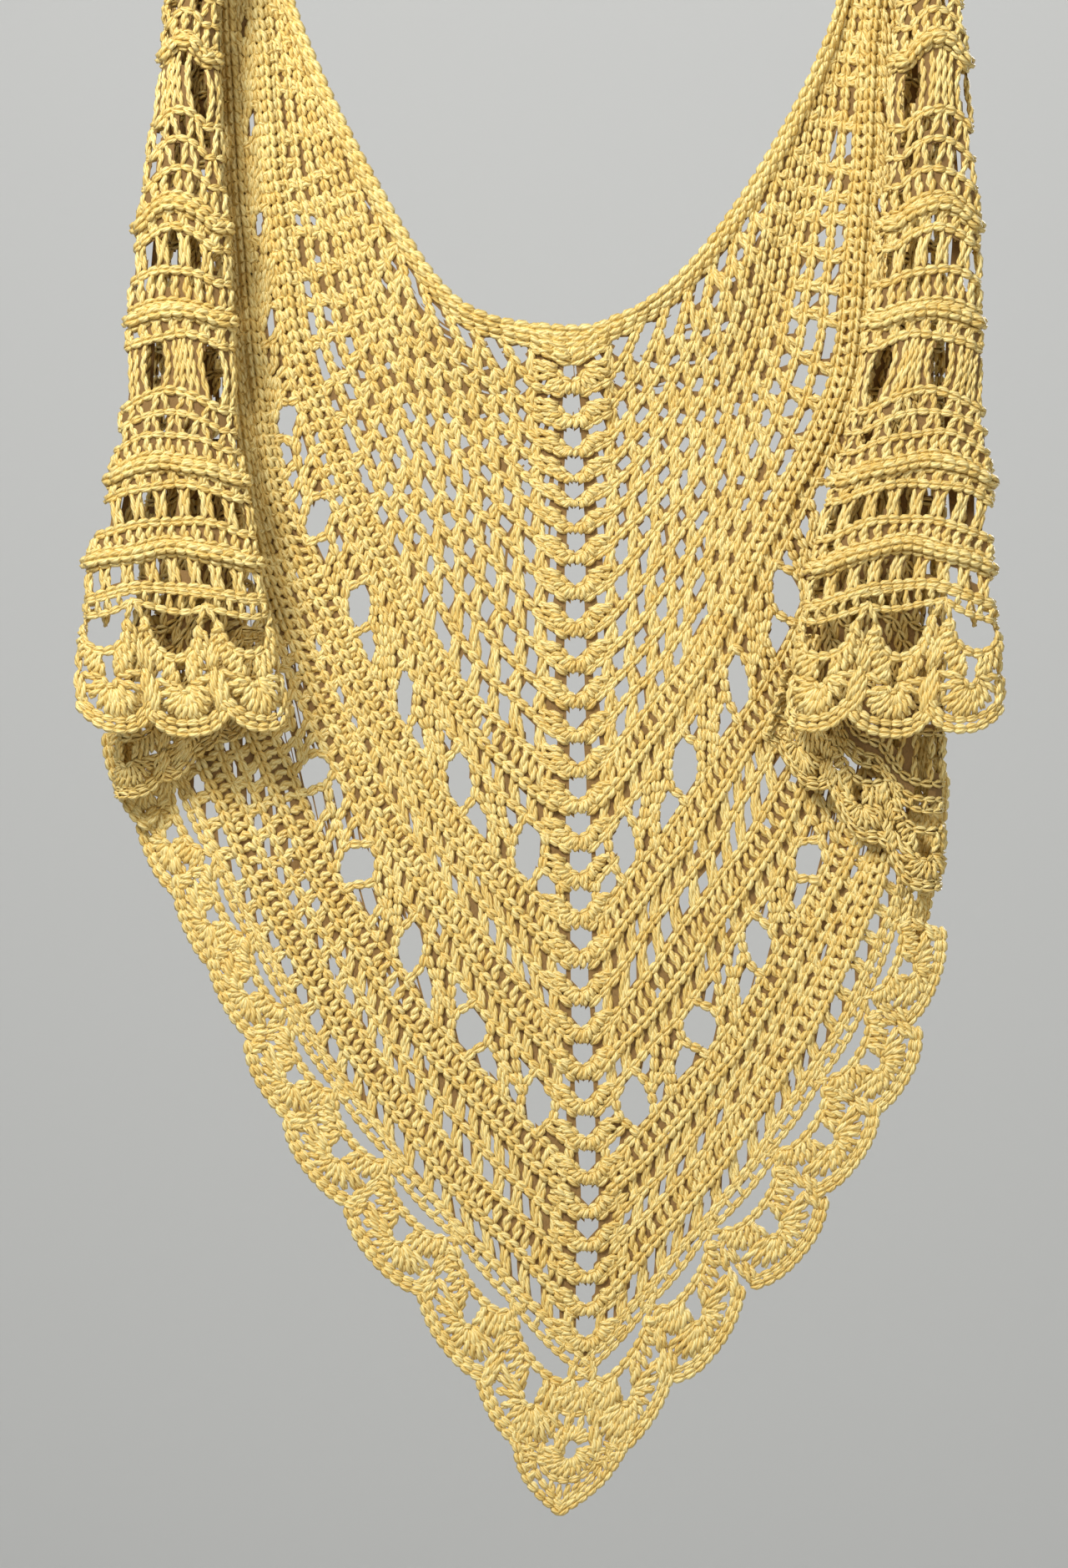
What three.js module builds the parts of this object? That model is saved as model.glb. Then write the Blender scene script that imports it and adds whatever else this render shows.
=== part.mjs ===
// A crocheted triangular shawl hung from two points, in millimetres.
// X runs to the right, Y away from the viewer and Z up. The origin lies on the line between the two
// places that hold it, close to its middle and at the height where the cloth bears.
import * as THREE from 'three';

// Cloth
const WALL = 3.0;
const SEAM = 0.3;
const RIDGE_RISE = 1.8;
const YARN_COLOR = 0xdcb45c;

// Bend over a hanging point: its radius, and the height where it runs out
const SADDLE_RADIUS = 16;
const TOP_Z = WALL / 2 - SADDLE_RADIUS;

// How far in front of the panel the fold, the wing and the flap lie
const FOLD_DEPTH = 12;
const WING_DEPTH = 22;
const FLAP_DEPTH = 2 * SADDLE_RADIUS;

// Lace
const SPINE_HALF_WIDTH = 9;
const SPINE_HOLE_HALF = 3.2;
const EYELET_PITCH = 10.2;
const EYELET_WIDTH = 5.6;
const EYELET_REACH = 0.46;
const FLOWER_PITCH = 43;
const SCALLOP_PITCH = 38.5;
const SCALLOP_RISE = 8;
const TIP_DROP = 13;
const TIP_SCALLOPS = 0.45;
const PLAIN_STEP = 30;
const FLOWER_REACH = 0.72;
const FLOWER_BIG_HALF = 5.2;
const FLOWER_SMALL_HALF = 3;
const FLOWER_NECK = 0.45;
const SHELL_RISE = 1;

// Row numbers of the centre panel, counted from the neck edge
const SPINE_ROWS = 29;
const SPINE_HOLE_ROWS = 0.27;
const SEAM_ROW = 29.8;
const SEAM_CROWDING = 1.5;
const LAST_ROW = 33;
const EDGING_GAP = 0.45;
const ROW_STEP = 0.2;
const ALONG_STEP = 0.01;
const CENTER_GAP = 0.7;
const OVAL_ROWS = { top: 30.4, middle: 30.95, bottom: 31.5 };
const HEM_ROW = 32.6;
const OVAL_SHARES = { narrow: [0.36, 0.64], wide: [0.2, 0.8] };
const HEM_SHARES = [0, 0.2, 0.5, 0.8];
const FIRST_TOP_ROW = 15;
const LAST_TOP_ROW = 22;
const LENGTH_STEPS = 24;

// Depth of the cloth's waves
const GATHERS = 3;
const GATHER_DEPTH = 5;
const GATHER_SPAN = { start: 0.35, full: 0.75, fade: 0.76, end: 0.92 };
const NECK_CURL = 4;
const NECK_SPAN = { start: 0.7, fadeRow: 8, endRow: 14 };
const NECK_ROWS = { full: 0.5, end: 3.5 };
const EDGING_RIPPLE = 0.5;
const EDGING_FADE = { start: 0.84, end: 0.97 };
const FLAP_CROWN = 3;
const CROWN_DROP = { start: 20, full: 120 };
const FLAP_RIPPLE = 2;
const FLAP_RIPPLES = 3;
const RIPPLE_DROP = { start: 150, full: 400 };
const FLAP_GAP_SHARES = [0.24, 0.76];
const FLAP_INNER_RADIUS = 8;
const FLAP_SCALLOP = 7;
const FLAP_SCALLOPS = 3;
const FOLD_SCALLOP = 6;
const FOLD_TOP_Z = -20;
const FOLD_GAP = 1;
const FOLD_STATIONS = [-1, -0.95, -0.62, -0.31, 0, 0.5, 1, 1.5, 2];
const WING_GAP = 1.4;
const WING_LEVELS = [0, 0.25, 0.5, 0.75, 1];
const WING_ACROSS = [0, 0.5, 1];
const WING_CLEARANCE = 30;
const WING_WIDTH = 50;
const WING_TIP_WIDTH = 4;
const SADDLE_STEPS = 8;
const SADDLE_ACROSS = [0, 0.25, 0.5, 0.75, 1];

// Rows of the centre panel. Each row is a curve from the spine outwards, as [x, z] at five places.
// Rows 0 to 15 end on the neck edge, rows 15 to 22 at the hanging point, the rest at the outer fold.
const ROWS = {
  right: [
    {
      row: 0, spine: [4.7, -234.7], low: [7.6, -234.4],
      middle: [10.4, -234], high: [13.3, -233.3], end: [16.2, -232.6],
    },
    {
      row: 3, spine: [6.1, -279.7], low: [19.8, -268.9],
      middle: [32.4, -253.8], high: [42.5, -234], end: [49, -212],
    },
    {
      row: 7, spine: [6.8, -324.7], low: [32.4, -302.4],
      middle: [59.4, -266.4], high: [77.4, -219.6], end: [88.2, -162],
    },
    {
      row: 11, spine: [7.2, -385.9], low: [41.4, -349.9],
      middle: [73.8, -298.8], high: [95.4, -237.6], end: [118.1, -100.8],
    },
    {
      row: 15, spine: [8.6, -446.4], low: [51.1, -394.2],
      middle: [93.6, -316.1], high: [126, -243], end: [140.4, TOP_Z],
    },
    {
      row: 19, spine: [9, -513], low: [65.2, -438.5],
      middle: [113.4, -356.4], high: [141.1, -244.8], end: [149.4, TOP_Z],
    },
    {
      row: 22, spine: [10.8, -561.2], low: [68.4, -489.6],
      middle: [113.4, -414], high: [147.6, -291.6], end: [158.4, TOP_Z],
    },
    {
      row: 25.5, spine: [12.6, -613.8], low: [65.2, -558.4],
      middle: [113.4, -483.5], high: [147.6, -399.6], end: [158.4, -270],
    },
    {
      row: 28.7, spine: [11.5, -658.8], low: [58.7, -606.2],
      middle: [97.2, -552.6], high: [136.8, -473.4], end: [158.4, -374.4],
    },
    {
      row: 29.8, spine: [11.2, -675], low: [61.2, -619.2],
      middle: [103.7, -560.5], high: [143.3, -481.7], end: [158.4, -406.8],
    },
    {
      row: 33, spine: [3.6, -739.8], low: [46.8, -698.4],
      middle: [91.8, -640.8], high: [140.4, -568.8], end: [157, -484.2],
    },
  ],
  left: [
    {
      row: 0, spine: [4.7, -234.7], low: [1.8, -234.4],
      middle: [-1.1, -234], high: [-4, -233.3], end: [-6.8, -232.6],
    },
    {
      row: 3, spine: [6.1, -279.7], low: [-10.8, -268.9],
      middle: [-24.1, -253.8], high: [-34.2, -237.6], end: [-41, -221.8],
    },
    {
      row: 7, spine: [6.8, -324.7], low: [-21.6, -298.8],
      middle: [-50.4, -261], high: [-70.2, -219.6], end: [-82.8, -163.8],
    },
    {
      row: 11, spine: [7.2, -385.9], low: [-25.2, -352.1],
      middle: [-57.6, -306], high: [-86.4, -237.6], end: [-114.5, -93.6],
    },
    {
      row: 15, spine: [8.6, -446.4], low: [-39.6, -403.2],
      middle: [-77.4, -334.8], high: [-115.2, -230.4], end: [-136.8, TOP_Z],
    },
    {
      row: 19, spine: [9, -513], low: [-46.8, -450],
      middle: [-90, -378], high: [-126, -288], end: [-146.9, TOP_Z],
    },
    {
      row: 22, spine: [10.8, -561.2], low: [-43.2, -496.8],
      middle: [-88.2, -423], high: [-133.2, -306], end: [-156.2, TOP_Z],
    },
    {
      row: 25.5, spine: [12.6, -613.8], low: [-46.8, -554.4],
      middle: [-97.2, -484.2], high: [-136.8, -396], end: [-168, -270],
    },
    {
      row: 28.7, spine: [11.5, -658.8], low: [-43.2, -604.8],
      middle: [-93.6, -538.2], high: [-140.4, -451.8], end: [-175, -356.4],
    },
    {
      row: 29.8, spine: [11.2, -675], low: [-48.2, -613.8],
      middle: [-100.8, -544.3], high: [-146.9, -457.9], end: [-180, -388.8],
    },
    {
      row: 33, spine: [3.6, -739.8], low: [-39.6, -680.4],
      middle: [-95.4, -606.6], high: [-149.4, -518.4], end: [-184, -441],
    },
  ],
};

// Lines of a centre half from the neck edge down: what the strip below each line holds
const PANEL_ROWS = [
  { row: 0, kind: 'plain' },
  { row: 1.8, kind: 'plain' },
  { row: 4, kind: 'plain' },
  { row: 6.6, kind: 'plain' },
  { row: 9.2, kind: 'plain' },
  { row: 11.8, kind: 'plain' },
  { row: 14.4, kind: 'plain' },
  { row: 15, kind: 'ridge' },
  { row: 15.4, kind: 'plain' },
  { row: 16.3, kind: 'flowers' },
  { row: 17.2, kind: 'plain' },
  { row: 18.1, kind: 'plain' },
  { row: 19, kind: 'ridge' },
  { row: 19.4, kind: 'plain' },
  { row: 20.2, kind: 'eyelets' },
  { row: 20.9, kind: 'plain' },
  { row: 22, kind: 'ridge' },
  { row: 22.4, kind: 'plain' },
  { row: 23.2, kind: 'flowers' },
  { row: 24, kind: 'plain' },
  { row: 24.7, kind: 'plain' },
  { row: 25.5, kind: 'ridge' },
  { row: 25.9, kind: 'plain' },
  { row: 26.7, kind: 'eyelets' },
  { row: 27.5, kind: 'plain' },
  { row: 28.7, kind: 'ridge' },
  { row: 29.1, kind: 'plain' },
  { row: SEAM_ROW, kind: 'plain' },
];

// The edges of each flap, and the inner edge of the fold behind it, at heights z
const FLAP_EDGES = {
  right: [
    { z: -20, inner: 138, outer: 171 },
    { z: -90, inner: 145.1, outer: 171.7 },
    { z: -183.6, inner: 139, outer: 178.6 },
    { z: -256, inner: 128.5, outer: 180 },
    { z: -299.5, inner: 117.4, outer: 184.3 },
    { z: -336.2, inner: 107.6, outer: 184.3 },
    { z: -372.6, inner: 102.6, outer: 187.2 },
    { z: -410, inner: 97, outer: 189.8 },
  ],
  left: [
    { z: -20, inner: -134, outer: -167.4 },
    { z: -112, inner: -147.2, outer: -168.1 },
    { z: -191.5, inner: -142.2, outer: -180 },
    { z: -276.1, inner: -138.6, outer: -187.2 },
    { z: -314.6, inner: -132.1, outer: -194.8 },
    { z: -330.1, inner: -129.6, outer: -200.9 },
    { z: -364, inner: -124.2, outer: -202.7 },
    { z: -410, inner: -115.6, outer: -212 },
  ],
};
const FOLD_EDGES = {
  right: [
    { z: -20, inner: 141 },
    { z: -90, inner: 146 },
    { z: -229.7, inner: 139 },
    { z: -299.5, inner: 119 },
    { z: -372.6, inner: 99 },
    { z: -410.4, inner: 84 },
    { z: -482.4, inner: 88 },
  ],
  left: [
    { z: -20, inner: -139 },
    { z: -90, inner: -145 },
    { z: -191.5, inner: -144 },
    { z: -276.1, inner: -140 },
    { z: -342, inner: -131 },
    { z: -392.4, inner: -121 },
    { z: -441, inner: -117 },
  ],
};

// Level rows of a flap: gaps is the number of gaps in the strip below the line
const FLAP_ROWS = [
  { z: TOP_Z - SEAM, gaps: 0 },
  { z: -62, gaps: 0 },
  { z: -109, gaps: 0 },
  { z: -113.5, gaps: 0, ridge: true },
  { z: -118, gaps: 0 },
  { z: -150, gaps: 0 },
  { z: -180, gaps: 0 },
  { z: -184.5, gaps: 0, ridge: true },
  { z: -189, gaps: 0 },
  { z: -197, gaps: 3 },
  { z: -210, gaps: 0 },
  { z: -223, gaps: 0 },
  { z: -227.5, gaps: 0, ridge: true },
  { z: -232, gaps: 0 },
  { z: -241, gaps: 3 },
  { z: -262, gaps: 0 },
  { z: -289, gaps: 0 },
  { z: -293.5, gaps: 0, ridge: true },
  { z: -298, gaps: 0 },
  { z: -303, gaps: 5 },
  { z: -317, gaps: 0 },
  { z: -326, gaps: 0 },
  { z: -330.5, gaps: 0, ridge: true },
  { z: -335, gaps: 0 },
];
const FLAP_EDGING_ROWS = [
  { z: -335 - SEAM, gaps: 0 },
  { z: -340, gaps: 5 },
  { z: -349, gaps: 0 },
  { z: -355, gaps: 3 },
  { z: -369, gaps: 0 },
  { z: -386, gaps: 0 },
];
const FLAP_HEM_Z = -402;

// Hem of the fold and free edge of the wing, from the inner to the outer side
const HEMS = {
  right: { foldInner: -414, wingTip: -372, scallops: 3 },
  left: { foldInner: -398, wingTip: -366, scallops: 2 },
};

const smoothstep = THREE.MathUtils.smoothstep;
const lerp = THREE.MathUtils.lerp;

// Value of a smooth curve through knots that never overshoots them
function through(knots, values, at) {
  let index = 0;
  while (index < knots.length - 2 && at > knots[index + 1]) {
    index += 1;
  }
  const secant = (i) => (values[i + 1] - values[i]) / (knots[i + 1] - knots[i]);
  const slope = (i) => {
    if (i === 0 || i === knots.length - 1) {
      return secant(Math.min(i, knots.length - 2));
    }
    const before = secant(i - 1);
    const after = secant(i);
    return before * after > 0 ? (2 * before * after) / (before + after) : 0;
  };
  const span = knots[index + 1] - knots[index];
  const t = (at - knots[index]) / span;
  const start = (2 * t ** 3 - 3 * t ** 2 + 1) * values[index];
  const end = (3 * t ** 2 - 2 * t ** 3) * values[index + 1];
  const leave = (t ** 3 - 2 * t ** 2 + t) * span * slope(index);
  const arrive = (t ** 3 - t ** 2) * span * slope(index + 1);
  return start + end + leave + arrive;
}

// A table column read as a straight-sided curve over z
function column(table, name, z) {
  for (let i = 1; i < table.length; i += 1) {
    if (z >= table[i].z || i === table.length - 1) {
      const share = (z - table[i - 1].z) / (table[i].z - table[i - 1].z);
      return lerp(table[i - 1][name], table[i][name], share);
    }
  }
  return table[0][name];
}

// An open surface of cloth that is thickened into one closed wall
class Cloth {
  constructor(mirrored) {
    this.mirrored = mirrored;
    this.points = [];
    this.rises = [];
    this.faces = [];
  }

  // Adds the points of one line; each has a station along the line
  line(stations, place, rise = 0) {
    const first = this.points.length;
    for (const station of stations) {
      this.points.push(place(station));
      this.rises.push(rise);
    }
    return { first, stations };
  }

  // Fills the strip between two lines, leaving out the cells that isOpen names
  join(upper, lower, isOpen = () => false) {
    const lastUpper = upper.stations.length - 1;
    const lastLower = lower.stations.length - 1;
    const paired = lastUpper === lastLower;
    let i = 0;
    let j = 0;
    while (i < lastUpper || j < lastLower) {
      const a = upper.first + i;
      const b = lower.first + j;
      if (paired && i === j) {
        if (!isOpen(i)) {
          this.faces.push([a, b, a + 1], [b, b + 1, a + 1]);
        }
        i += 1;
        j += 1;
        continue;
      }
      const nextUpper = i < lastUpper ? upper.stations[i + 1] : Infinity;
      const nextLower = j < lastLower ? lower.stations[j + 1] : Infinity;
      if (nextUpper <= nextLower) {
        this.faces.push([a, b, a + 1]);
        i += 1;
      } else {
        this.faces.push([a, b, b + 1]);
        j += 1;
      }
    }
  }

  // The closed wall: a front skin, a back skin and a rim round each edge
  wall() {
    const normals = this.points.map(() => new THREE.Vector3());
    const edges = new Map();
    const faces = this.mirrored ? this.faces.map(([a, b, c]) => [a, c, b]) : this.faces;
    for (const [a, b, c] of faces) {
      const ab = new THREE.Vector3().subVectors(this.points[b], this.points[a]);
      const ac = new THREE.Vector3().subVectors(this.points[c], this.points[a]);
      const normal = ab.cross(ac).normalize();
      for (const corner of [a, b, c]) {
        normals[corner].add(normal);
      }
      for (const [from, to] of [[a, b], [b, c], [c, a]]) {
        const twin = `${to},${from}`;
        if (edges.has(twin)) {
          edges.delete(twin);
        } else {
          edges.set(`${from},${to}`, [from, to]);
        }
      }
    }
    const count = this.points.length;
    const positions = [];
    for (const side of [1, -1]) {
      this.points.forEach((point, i) => {
        const rise = side > 0 ? this.rises[i] : 0;
        const reach = side * (WALL / 2) + rise;
        positions.push(...point.clone().addScaledVector(normals[i].normalize(), reach).toArray());
      });
    }
    const index = [];
    for (const [a, b, c] of faces) {
      index.push(a, b, c, count + a, count + c, count + b);
    }
    for (const [from, to] of edges.values()) {
      index.push(from, count + from, to, to, count + from, count + to);
    }
    const geometry = new THREE.BufferGeometry();
    geometry.setAttribute('position', new THREE.Float32BufferAttribute(positions, 3));
    geometry.setIndex(index);
    return geometry;
  }
}

// A row of the table as a smooth curve over a share of its length
function rowCurve(entry) {
  const stops = [entry.spine, entry.low, entry.middle, entry.high, entry.end];
  const shares = [0];
  for (let i = 1; i < stops.length; i += 1) {
    const step = Math.hypot(stops[i][0] - stops[i - 1][0], stops[i][1] - stops[i - 1][1]);
    shares.push(shares[i - 1] + step);
  }
  const total = shares[shares.length - 1];
  const knots = shares.map((share) => share / total);
  const xs = stops.map((stop) => stop[0]);
  const zs = stops.map((stop) => stop[1]);
  return (along) => [through(knots, xs, along), through(knots, zs, along)];
}

// One half of the centre panel, as a surface over a share along the row and a row number
function centreHalf(side) {
  const rows = ROWS[side];
  const knots = rows.map((entry) => entry.row);
  const curves = rows.map(rowCurve);
  const at = (along, row) => {
    const stops = curves.map((curve) => curve(along));
    const x = through(knots, stops.map((stop) => stop[0]), row);
    const z = through(knots, stops.map((stop) => stop[1]), row);
    return new THREE.Vector3(x, -panelDepth(along, row), z);
  };
  const length = (row) => {
    let sum = 0;
    for (let i = 0; i < LENGTH_STEPS; i += 1) {
      sum += at(i / LENGTH_STEPS, row).distanceTo(at((i + 1) / LENGTH_STEPS, row));
    }
    return sum;
  };
  return { at, length };
}

// How far the panel stands forward: gathers below the hanging point, and the curl of the neck edge
function panelDepth(along, row) {
  const span = GATHER_SPAN;
  const gather = smoothstep(along, span.start, span.full) * (1 - smoothstep(along, span.fade, span.end));
  const wave = 0.5 - 0.5 * Math.cos((2 * Math.PI * GATHERS * row) / LAST_ROW);
  const upperRows = 1 - smoothstep(row, NECK_SPAN.fadeRow, NECK_SPAN.endRow);
  const nearNeck = smoothstep(along, NECK_SPAN.start, 1) * upperRows;
  const top = 1 - smoothstep(row, NECK_ROWS.full, NECK_ROWS.end);
  return GATHER_DEPTH * gather * wave + NECK_CURL * Math.max(nearNeck, top);
}

// Even stations from 0 to 1, about one for each step
function evenStations(length, step) {
  const count = Math.max(1, Math.round(length / step));
  return Array.from({ length: count + 1 }, (_, i) => i / count);
}

// Stations on both sides of each hole, then plain ones to the end; odd cells are the holes
function holeStations(length, centres, halfWidths, plainStep) {
  const stations = [0];
  centres.forEach((centre, i) => {
    stations.push((centre - halfWidths[i]) / length, (centre + halfWidths[i]) / length);
  });
  const last = stations[stations.length - 1];
  const rest = evenStations((1 - last) * length, plainStep).slice(1);
  return stations.concat(rest.map((share) => last + (1 - last) * share));
}

function repeated(first, pitch, end) {
  const centres = [];
  for (let centre = first; centre < end; centre += pitch) {
    centres.push(centre);
  }
  return centres;
}

// Shares of the last body row at which the body and the edging meet point for point, with none that
// crowds the first
function seamShares(half) {
  const length = half.length(SEAM_ROW);
  const first = SPINE_HALF_WIDTH / length;
  return [first, ...evenStations(length, PLAIN_STEP).filter((share) => share > SEAM_CROWDING * first)];
}

// The lines of a lace surface. A row of eyelets or flowers gives its strip the holes.
function lace(rows, lastStations, lengthAt, placeAt, mirrored) {
  const cloth = new Cloth(mirrored);
  const stationsOf = rows.map(() => null);
  const holesOf = rows.map(() => 0);
  rows.forEach((entry, i) => {
    const length = lengthAt(entry.row);
    if (entry.kind === 'eyelets') {
      const centres = repeated(EYELET_PITCH, EYELET_PITCH, EYELET_REACH * length);
      const halves = centres.map(() => EYELET_WIDTH / 2);
      stationsOf[i] = holeStations(length, centres, halves, PLAIN_STEP);
      stationsOf[i + 1] = stationsOf[i];
      holesOf[i] = centres.length;
    }
    if (entry.kind === 'flowers') {
      const middle = lengthAt(rows[i + 1].row);
      const centres = repeated(FLOWER_PITCH / 2, FLOWER_PITCH / 2, FLOWER_REACH * middle);
      const wide = centres.map((_, k) => (k % 2 ? FLOWER_SMALL_HALF : FLOWER_BIG_HALF));
      const narrow = wide.map((half) => half * FLOWER_NECK);
      stationsOf[i] = holeStations(middle, centres, narrow, PLAIN_STEP);
      stationsOf[i + 1] = holeStations(middle, centres, wide, PLAIN_STEP);
      stationsOf[i + 2] = stationsOf[i];
      holesOf[i] = centres.length;
      holesOf[i + 1] = centres.length;
    }
  });
  let upper = null;
  rows.forEach((entry, i) => {
    const isLast = i === rows.length - 1;
    const plain = isLast ? lastStations : evenStations(lengthAt(entry.row), PLAIN_STEP);
    const stations = stationsOf[i] ?? plain;
    const rise = entry.kind === 'ridge' ? RIDGE_RISE : 0;
    const lower = cloth.line(stations, (station) => placeAt(station, entry.row), rise);
    if (upper) {
      cloth.join(upper, lower, (cell) => cell % 2 === 1 && cell < 2 * holesOf[i - 1]);
    }
    upper = lower;
  });
  return cloth.wall();
}

function panel(side) {
  const half = centreHalf(side);
  const lengthAt = (row) => half.length(row) - SPINE_HALF_WIDTH - SEAM;
  const placeAt = (station, row) => {
    const start = (SPINE_HALF_WIDTH + SEAM) / half.length(row);
    return half.at(start + (1 - start) * station, row);
  };
  const [first, ...shares] = seamShares(half);
  const start = first + SEAM / half.length(SEAM_ROW);
  const lastStations = [0, ...shares.map((share) => (share - start) / (1 - start))];
  return lace(PANEL_ROWS, lastStations, lengthAt, placeAt, side === 'left');
}

// The column of shells: one diamond hole to a row
function spine() {
  const halves = { left: centreHalf('left'), right: centreHalf('right') };
  const place = (distance, row) => {
    const half = distance < 0 ? halves.left : halves.right;
    return half.at(Math.abs(distance) / half.length(row), row);
  };
  const cloth = new Cloth(false);
  const wide = [-SPINE_HALF_WIDTH, 0, SPINE_HALF_WIDTH];
  const split = [-SPINE_HALF_WIDTH, -SPINE_HOLE_HALF, SPINE_HOLE_HALF, SPINE_HALF_WIDTH];
  let above = cloth.line(wide, (distance) => place(distance, 0));
  for (let row = 1; row <= SPINE_ROWS; row += 1) {
    const top = cloth.line(wide, (distance) => place(distance, row - SPINE_HOLE_ROWS));
    const middle = cloth.line(split, (distance) => place(distance, row), SHELL_RISE);
    const bottom = cloth.line(wide, (distance) => place(distance, row + SPINE_HOLE_ROWS));
    cloth.join(above, top);
    cloth.faces.push(
      [top.first, middle.first, top.first + 1],
      [middle.first, middle.first + 1, top.first + 1],
      [top.first + 1, middle.first + 2, top.first + 2],
      [middle.first + 2, middle.first + 3, top.first + 2],
      [middle.first, bottom.first, bottom.first + 1],
      [middle.first, bottom.first + 1, middle.first + 1],
      [middle.first + 2, bottom.first + 1, bottom.first + 2],
      [middle.first + 2, bottom.first + 2, middle.first + 3],
    );
    above = bottom;
  }
  const end = cloth.line(wide, (distance) => place(distance, SEAM_ROW));
  cloth.join(above, end);
  return cloth.wall();
}

// Stations of a run of scallops, each with its own share of the length
function scallopStations(count, shares) {
  const stations = [];
  for (let scallop = 0; scallop < count; scallop += 1) {
    stations.push(...shares.map((share) => (scallop + share) / count));
  }
  return stations.concat(1);
}

// Unit vector across the rows at a place, in the plane of the panel and pointing to the hem
function acrossRows(half, along, row) {
  const before = half.at(Math.max(along - ALONG_STEP, 0), row);
  const after = half.at(Math.min(along + ALONG_STEP, 1), row);
  const across = new THREE.Vector3(after.z - before.z, 0, before.x - after.x).normalize();
  const outward = half.at(along, row + ROW_STEP).sub(half.at(along, row));
  return across.multiplyScalar(Math.sign(across.dot(outward)));
}

// The scalloped edging of one side of the centre panel, with an oval gap to each scallop
function edging(side) {
  const half = centreHalf(side);
  const count = Math.round(half.length(LAST_ROW) / SCALLOP_PITCH);
  const placeAt = (station, row) => {
    const start = CENTER_GAP / 2 / half.length(row);
    const along = start + (1 - start) * station;
    const fade = 1 - smoothstep(station, EDGING_FADE.start, EDGING_FADE.end);
    const point = half.at(along, row);
    if (row === SEAM_ROW) {
      point.z -= EDGING_GAP / Math.abs(acrossRows(half, along, row).z);
      return point;
    }
    const ripple = (0.5 - 0.5 * Math.cos(2 * Math.PI * station * count)) * (row - SEAM_ROW);
    point.y -= EDGING_RIPPLE * ripple * fade * smoothstep(station * count, 0.5, 1);
    if (row === HEM_ROW) {
      const scallop = Math.sin(Math.PI * ((station * count) % 1));
      point.addScaledVector(acrossRows(half, along, row), SCALLOP_RISE * scallop * fade);
      point.z -= TIP_DROP * (1 - smoothstep(station * count, 0, TIP_SCALLOPS));
    }
    return point;
  };
  const cloth = new Cloth(side === 'left');
  const seam = [0, ...seamShares(half)];
  const narrow = scallopStations(count, OVAL_SHARES.narrow);
  const wide = scallopStations(count, OVAL_SHARES.wide);
  const ends = (stations) => [0, ...stations];
  const hem = scallopStations(count, HEM_SHARES);
  const lines = [
    cloth.line(seam, (station) => placeAt(station, SEAM_ROW)),
    cloth.line(ends(narrow), (station) => placeAt(station, OVAL_ROWS.top)),
    cloth.line(ends(wide), (station) => placeAt(station, OVAL_ROWS.middle)),
    cloth.line(ends(narrow), (station) => placeAt(station, OVAL_ROWS.bottom)),
    cloth.line(hem, (station) => placeAt(station, HEM_ROW)),
  ];
  const isOval = (cell) => cell % 2 === 1;
  cloth.join(lines[0], lines[1]);
  cloth.join(lines[1], lines[2], isOval);
  cloth.join(lines[2], lines[3], isOval);
  cloth.join(lines[3], lines[4]);
  return cloth.wall();
}

const SIDE_SIGN = { left: -1, right: 1 };

// Outer edge of the centre panel and its edging below the hanging point, from the top down
function outerEdge(side) {
  const half = centreHalf(side);
  const rows = PANEL_ROWS.map((entry) => entry.row).filter((row) => row >= LAST_TOP_ROW);
  rows.push(OVAL_ROWS.top, OVAL_ROWS.middle, OVAL_ROWS.bottom, HEM_ROW);
  return rows.map((row) => half.at(1, row)).filter((stop) => stop.z < FOLD_TOP_Z);
}

// x of an edge at a height
function edgeX(stops, z) {
  let i = 1;
  while (i < stops.length - 1 && stops[i].z > z) {
    i += 1;
  }
  const share = (z - stops[i - 1].z) / (stops[i].z - stops[i - 1].z);
  return lerp(stops[i - 1].x, stops[i].x, share);
}

// The stretch between the outer fold and the flap. Stations -1 to 0 turn forward round the outer
// fold, 0 to 1 lie on the panel, and 1 to 2 turn towards the flap.
function fold(side) {
  const sign = SIDE_SIGN[side];
  const edge = outerEdge(side);
  const turn = FOLD_DEPTH / 2;
  const reach = FLAP_DEPTH - FLAP_INNER_RADIUS - FOLD_DEPTH - FOLD_GAP;
  const hem = HEMS[side];
  const hemZ = edge[edge.length - 1].z;
  const place = (station, level) => {
    const across = THREE.MathUtils.clamp(station, 0, 1);
    const scallops = Math.abs(Math.sin(Math.PI * hem.scallops * across));
    const bottom = lerp(hemZ, hem.foldInner, across) - FOLD_SCALLOP * scallops;
    const z = lerp(edge[0].z, bottom, level);
    const outer = edgeX(edge, z) + sign * SEAM;
    const inner = column(FOLD_EDGES[side], 'inner', z);
    if (station <= 0) {
      const angle = (station + 1) * Math.PI;
      const x = outer + sign * turn * Math.sin(angle);
      return new THREE.Vector3(x, -turn * (1 - Math.cos(angle)), z);
    }
    if (station <= 1) {
      return new THREE.Vector3(lerp(outer, inner + sign * reach, station), -FOLD_DEPTH, z);
    }
    const angle = ((station - 1) * Math.PI) / 2;
    const x = inner + sign * reach * (1 - Math.sin(angle));
    return new THREE.Vector3(x, -FOLD_DEPTH - reach * (1 - Math.cos(angle)), z);
  };
  const cloth = new Cloth(side === 'right');
  let upper = null;
  for (const stop of edge) {
    const level = (stop.z - edge[0].z) / (hemZ - edge[0].z);
    const lower = cloth.line(FOLD_STATIONS, (station) => place(station, level));
    if (upper) {
      cloth.join(upper, lower);
    }
    upper = lower;
  }
  return cloth.wall();
}

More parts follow.
